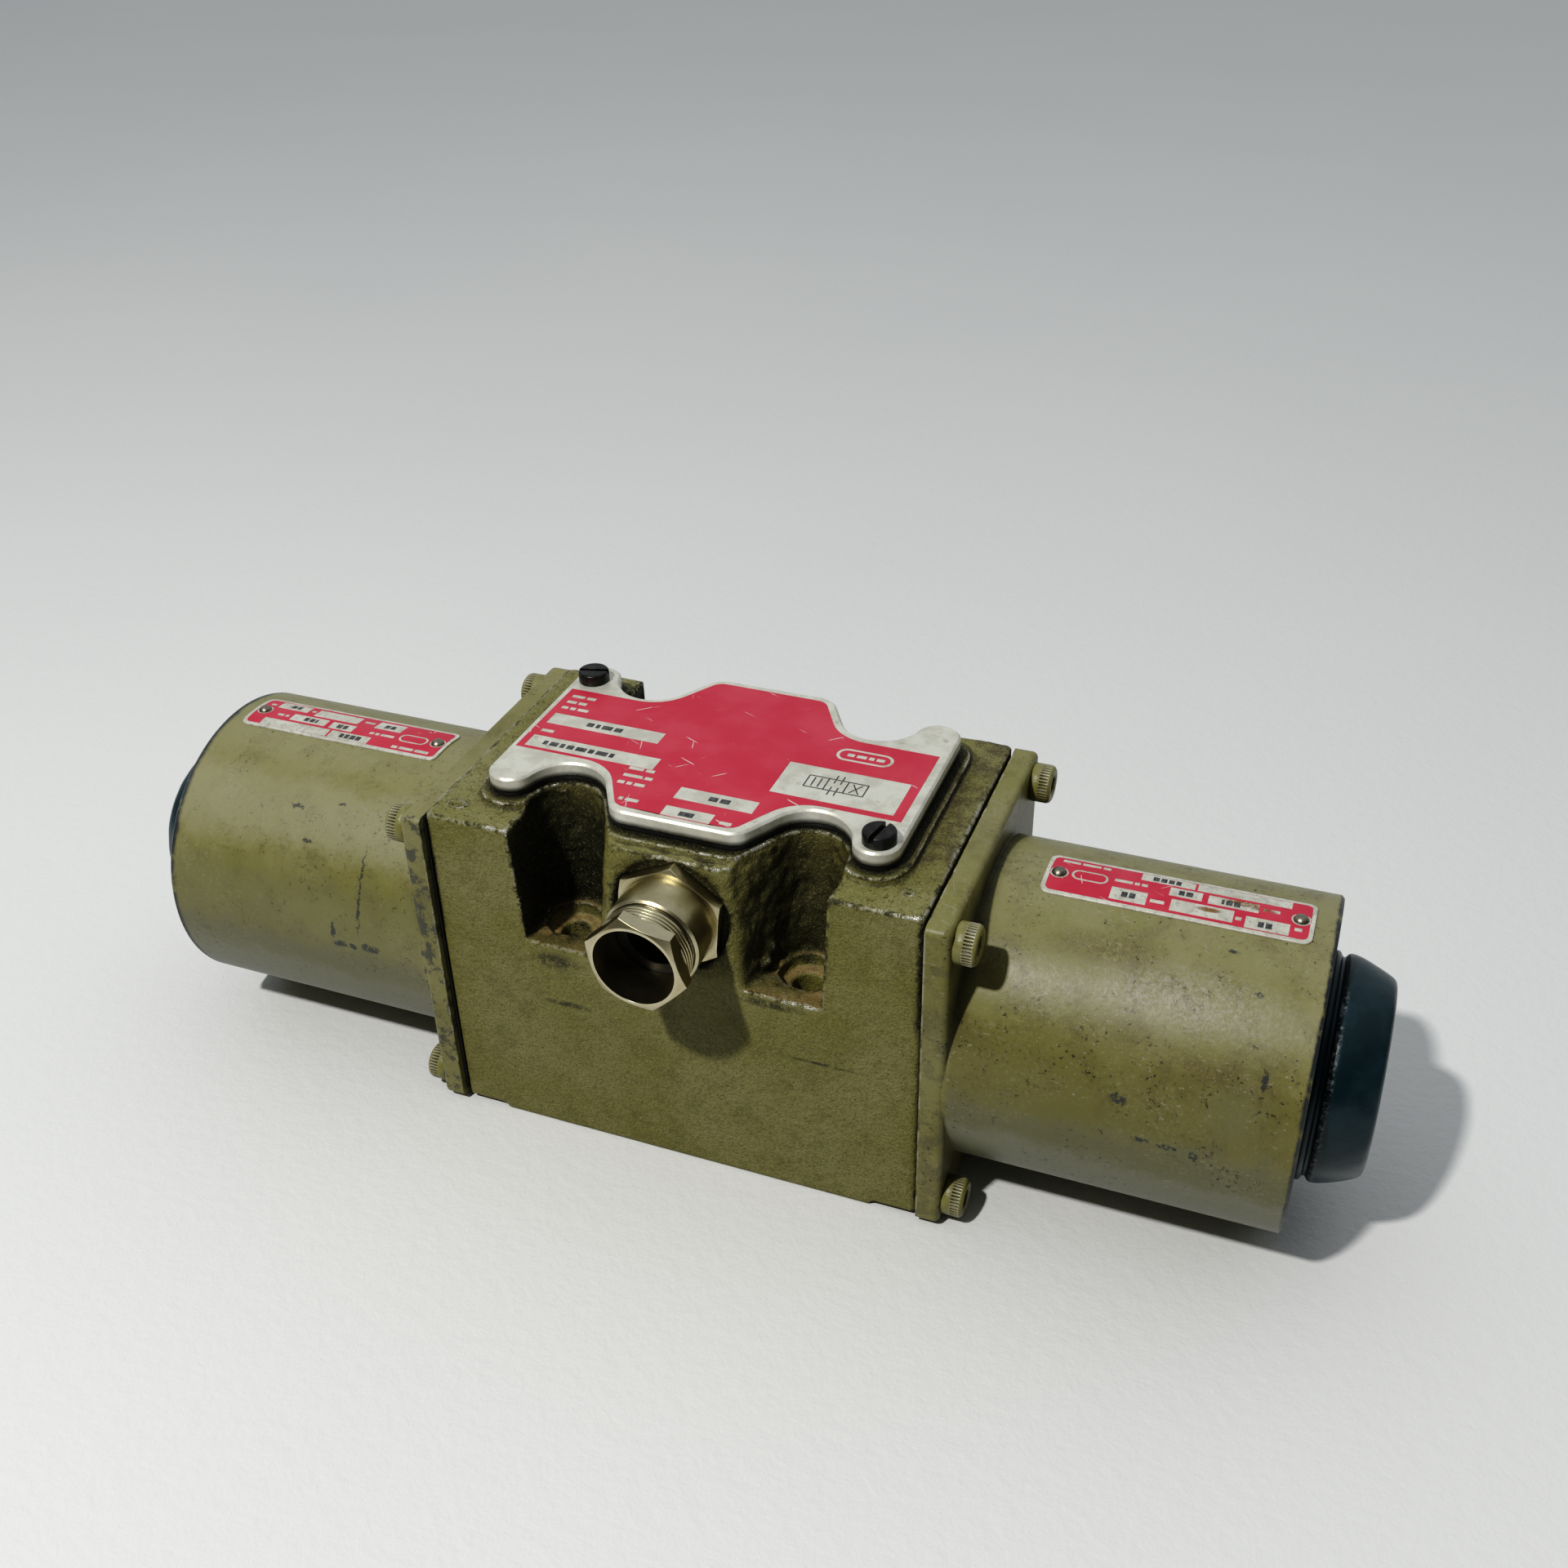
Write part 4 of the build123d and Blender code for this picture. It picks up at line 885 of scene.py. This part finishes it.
PLATE_STAMPS = [(21.0, 1.5, (1.2, 1.2, 1.1, 1.0)), (26.6, 4.8, (1.1, 1.3)), (35.0, 5.0, (0.5, 1.2, 1.2)),
                (15.9, 8.7, (1.2, 1.2)), (42.6, 9.6, (1.1, 1.2))]


def wrap_on_housing(shape, side):
    """Bends a flat plate layer (u, v, height) round the housing; side a carries it turned half round."""
    for v in range(1, int(PLATE_WIDTH)):
        bmesh.ops.bisect_plane(shape, geom=shape.verts[:] + shape.edges[:] + shape.faces[:],
                               plane_co=(0, v * MM, 0), plane_no=(0, 1, 0))
    start = LABEL_X - PLATE_LENGTH / 2 * MM
    sign, turn = (1.0, radians(PLATE_TILT["b"])) if side == "b" else (-1.0, radians(PLATE_TILT["a"]))
    for vert in shape.verts:
        u, v, height = vert.co
        angle = sign * (v - PLATE_WIDTH / 2 * MM) / LABEL_R + turn
        r = LABEL_R + height
        vert.co = (sign * (start + u), -r * sin(angle), AXIS_Z + r * cos(angle))


def plate_print(side, crimson, ink):
    b = PLATE_BORDER
    outline = rounded_box(b, PLATE_LENGTH - b, b, PLATE_WIDTH - b, 1.2)
    holes = [[(x0, y0), (x1, y0), (x1, y1), (x0, y1)] for x0, x1, y0, y1 in PLATE_BOXES]
    holes += [loop for x, y, lengths in PLATE_WORDS for loop in dashes(x, y, lengths, 1.0, 0.4)]
    holes += [arc(x, PLATE_WIDTH / 2, 1.9, 0, 337.5, 15) for x in (2.7, 50.3)]
    holes.append(rounded_box(5.2, 12.6, 4.4, 7.8, 1.6))
    field = bmesh.new()
    sheet(field, [in_metres(loop) for loop in [outline, *holes]], INK_LOW, INK_HIGH)
    sheet(field, [in_metres(rounded_box(5.7, 12.1, 4.9, 7.3, 1.1))], INK_LOW, INK_HIGH)
    wrap_on_housing(field, side)
    finish_piece(add_piece("nameplate_print_" + side, field, crimson), "valve", "label")
    stamped = bmesh.new()
    for x, y, lengths in PLATE_STAMPS:
        for mark in dashes(x, y, lengths, 1.5, 0.35):
            sheet(stamped, [in_metres(mark)], INK_LOW, INK_HIGH)
    wrap_on_housing(stamped, side)
    finish_piece(add_piece("nameplate_stamping_" + side, stamped, ink), "valve", "label")


# ---- floor, light and camera ---------------------------------------------
def make_floor():
    g = Graph("pale_floor")
    tone = g.noise(0.25, 2, 0.5)
    colour = g.mix(tone, (0.80, 0.81, 0.81), (0.86, 0.86, 0.85))
    colour = g.mix(g.add("LightPath").outputs["Is Diffuse Ray"], colour, (0.32, 0.32, 0.31))
    normal = g.bump(g.noise(0.004, 3, 0.7), 0.0003)
    material = g.finish(Base_Color=colour, Roughness=0.65, Normal=normal)
    mesh = bpy.data.meshes.new("floor")
    shape = bmesh.new()
    bmesh.ops.create_grid(shape, x_segments=1, y_segments=1, size=6.0)
    shape.to_mesh(mesh)
    shape.free()
    mesh.materials.append(material)
    floor = bpy.data.objects.new("floor", mesh)
    bpy.context.scene.collection.objects.link(floor)
    floor.location.z = BODY_LOW.z - 0.0002
    return floor


def area_light(name, at, aim, size, power, colour):
    data = bpy.data.lights.new(name, "AREA")
    data.shape = "DISK"
    data.size = size
    data.energy = power
    data.color = colour
    light = bpy.data.objects.new(name, data)
    bpy.context.scene.collection.objects.link(light)
    light.location = at
    light.rotation_mode = "QUATERNION"
    light.rotation_quaternion = (aim - at).to_track_quat("-Z", "Y")
    return light


def make_light():
    aim = Vector((0.0, 0.0, 0.05))
    at = aim + KEY_FROM.normalized() * KEY_DISTANCE
    area_light("key", at, aim, KEY_SIZE, KEY_POWER, KEY_COLOUR)
    world = bpy.data.worlds.new("studio")
    bpy.context.scene.world = world
    world.use_nodes = True
    tree = world.node_tree
    background = tree.nodes["Background"]
    place = tree.nodes.new("ShaderNodeTexCoord")
    dot = tree.nodes.new("ShaderNodeVectorMath")
    dot.operation = "DOT_PRODUCT"
    dot.inputs[1].default_value = SKY_BRIGHT_TOWARD
    ramp = tree.nodes.new("ShaderNodeValToRGB")
    ramp.color_ramp.elements[0].position = 0.0
    ramp.color_ramp.elements[0].color = (0.030, 0.031, 0.032, 1)
    ramp.color_ramp.elements[1].position = 0.85
    ramp.color_ramp.elements[1].color = (0.54, 0.565, 0.58, 1)
    tree.links.new(place.outputs["Generated"], dot.inputs[0])
    tree.links.new(dot.outputs["Value"], ramp.inputs[0])
    seen = tree.nodes.new("ShaderNodeLightPath").outputs["Is Camera Ray"]
    backdrop = tree.nodes.new("ShaderNodeMix")
    backdrop.data_type = "RGBA"
    backdrop.inputs[7].default_value = (*BACKDROP, 1)
    tree.links.new(seen, backdrop.inputs[0])
    tree.links.new(ramp.outputs[0], backdrop.inputs[6])
    tree.links.new(backdrop.outputs[2], background.inputs["Color"])
    background.inputs["Strength"].default_value = 1.0
    view = bpy.context.scene.view_settings
    view.view_transform = "Standard"
    view.look = "None"
    view.use_curve_mapping = True
    curve = view.curve_mapping.curves[3]
    for x, y in TONE_TOE:
        curve.points.new(x, y)
    view.curve_mapping.update()


def make_camera():
    data = bpy.data.cameras.new("camera")
    data.lens = CAMERA_LENS
    data.sensor_width = CAMERA_SENSOR
    data.clip_start, data.clip_end = 0.01, 20.0
    camera = bpy.data.objects.new("camera", data)
    bpy.context.scene.collection.objects.link(camera)
    camera.location = CAMERA_AT
    camera.rotation_mode = "QUATERNION"
    level = (CAMERA_AIM - CAMERA_AT).to_track_quat("-Z", "Y")
    camera.rotation_quaternion = level @ Quaternion((0, 0, 1), radians(CAMERA_ROLL))
    bpy.context.scene.camera = camera


paint_nodes()
make_floor()
make_light()
make_camera()
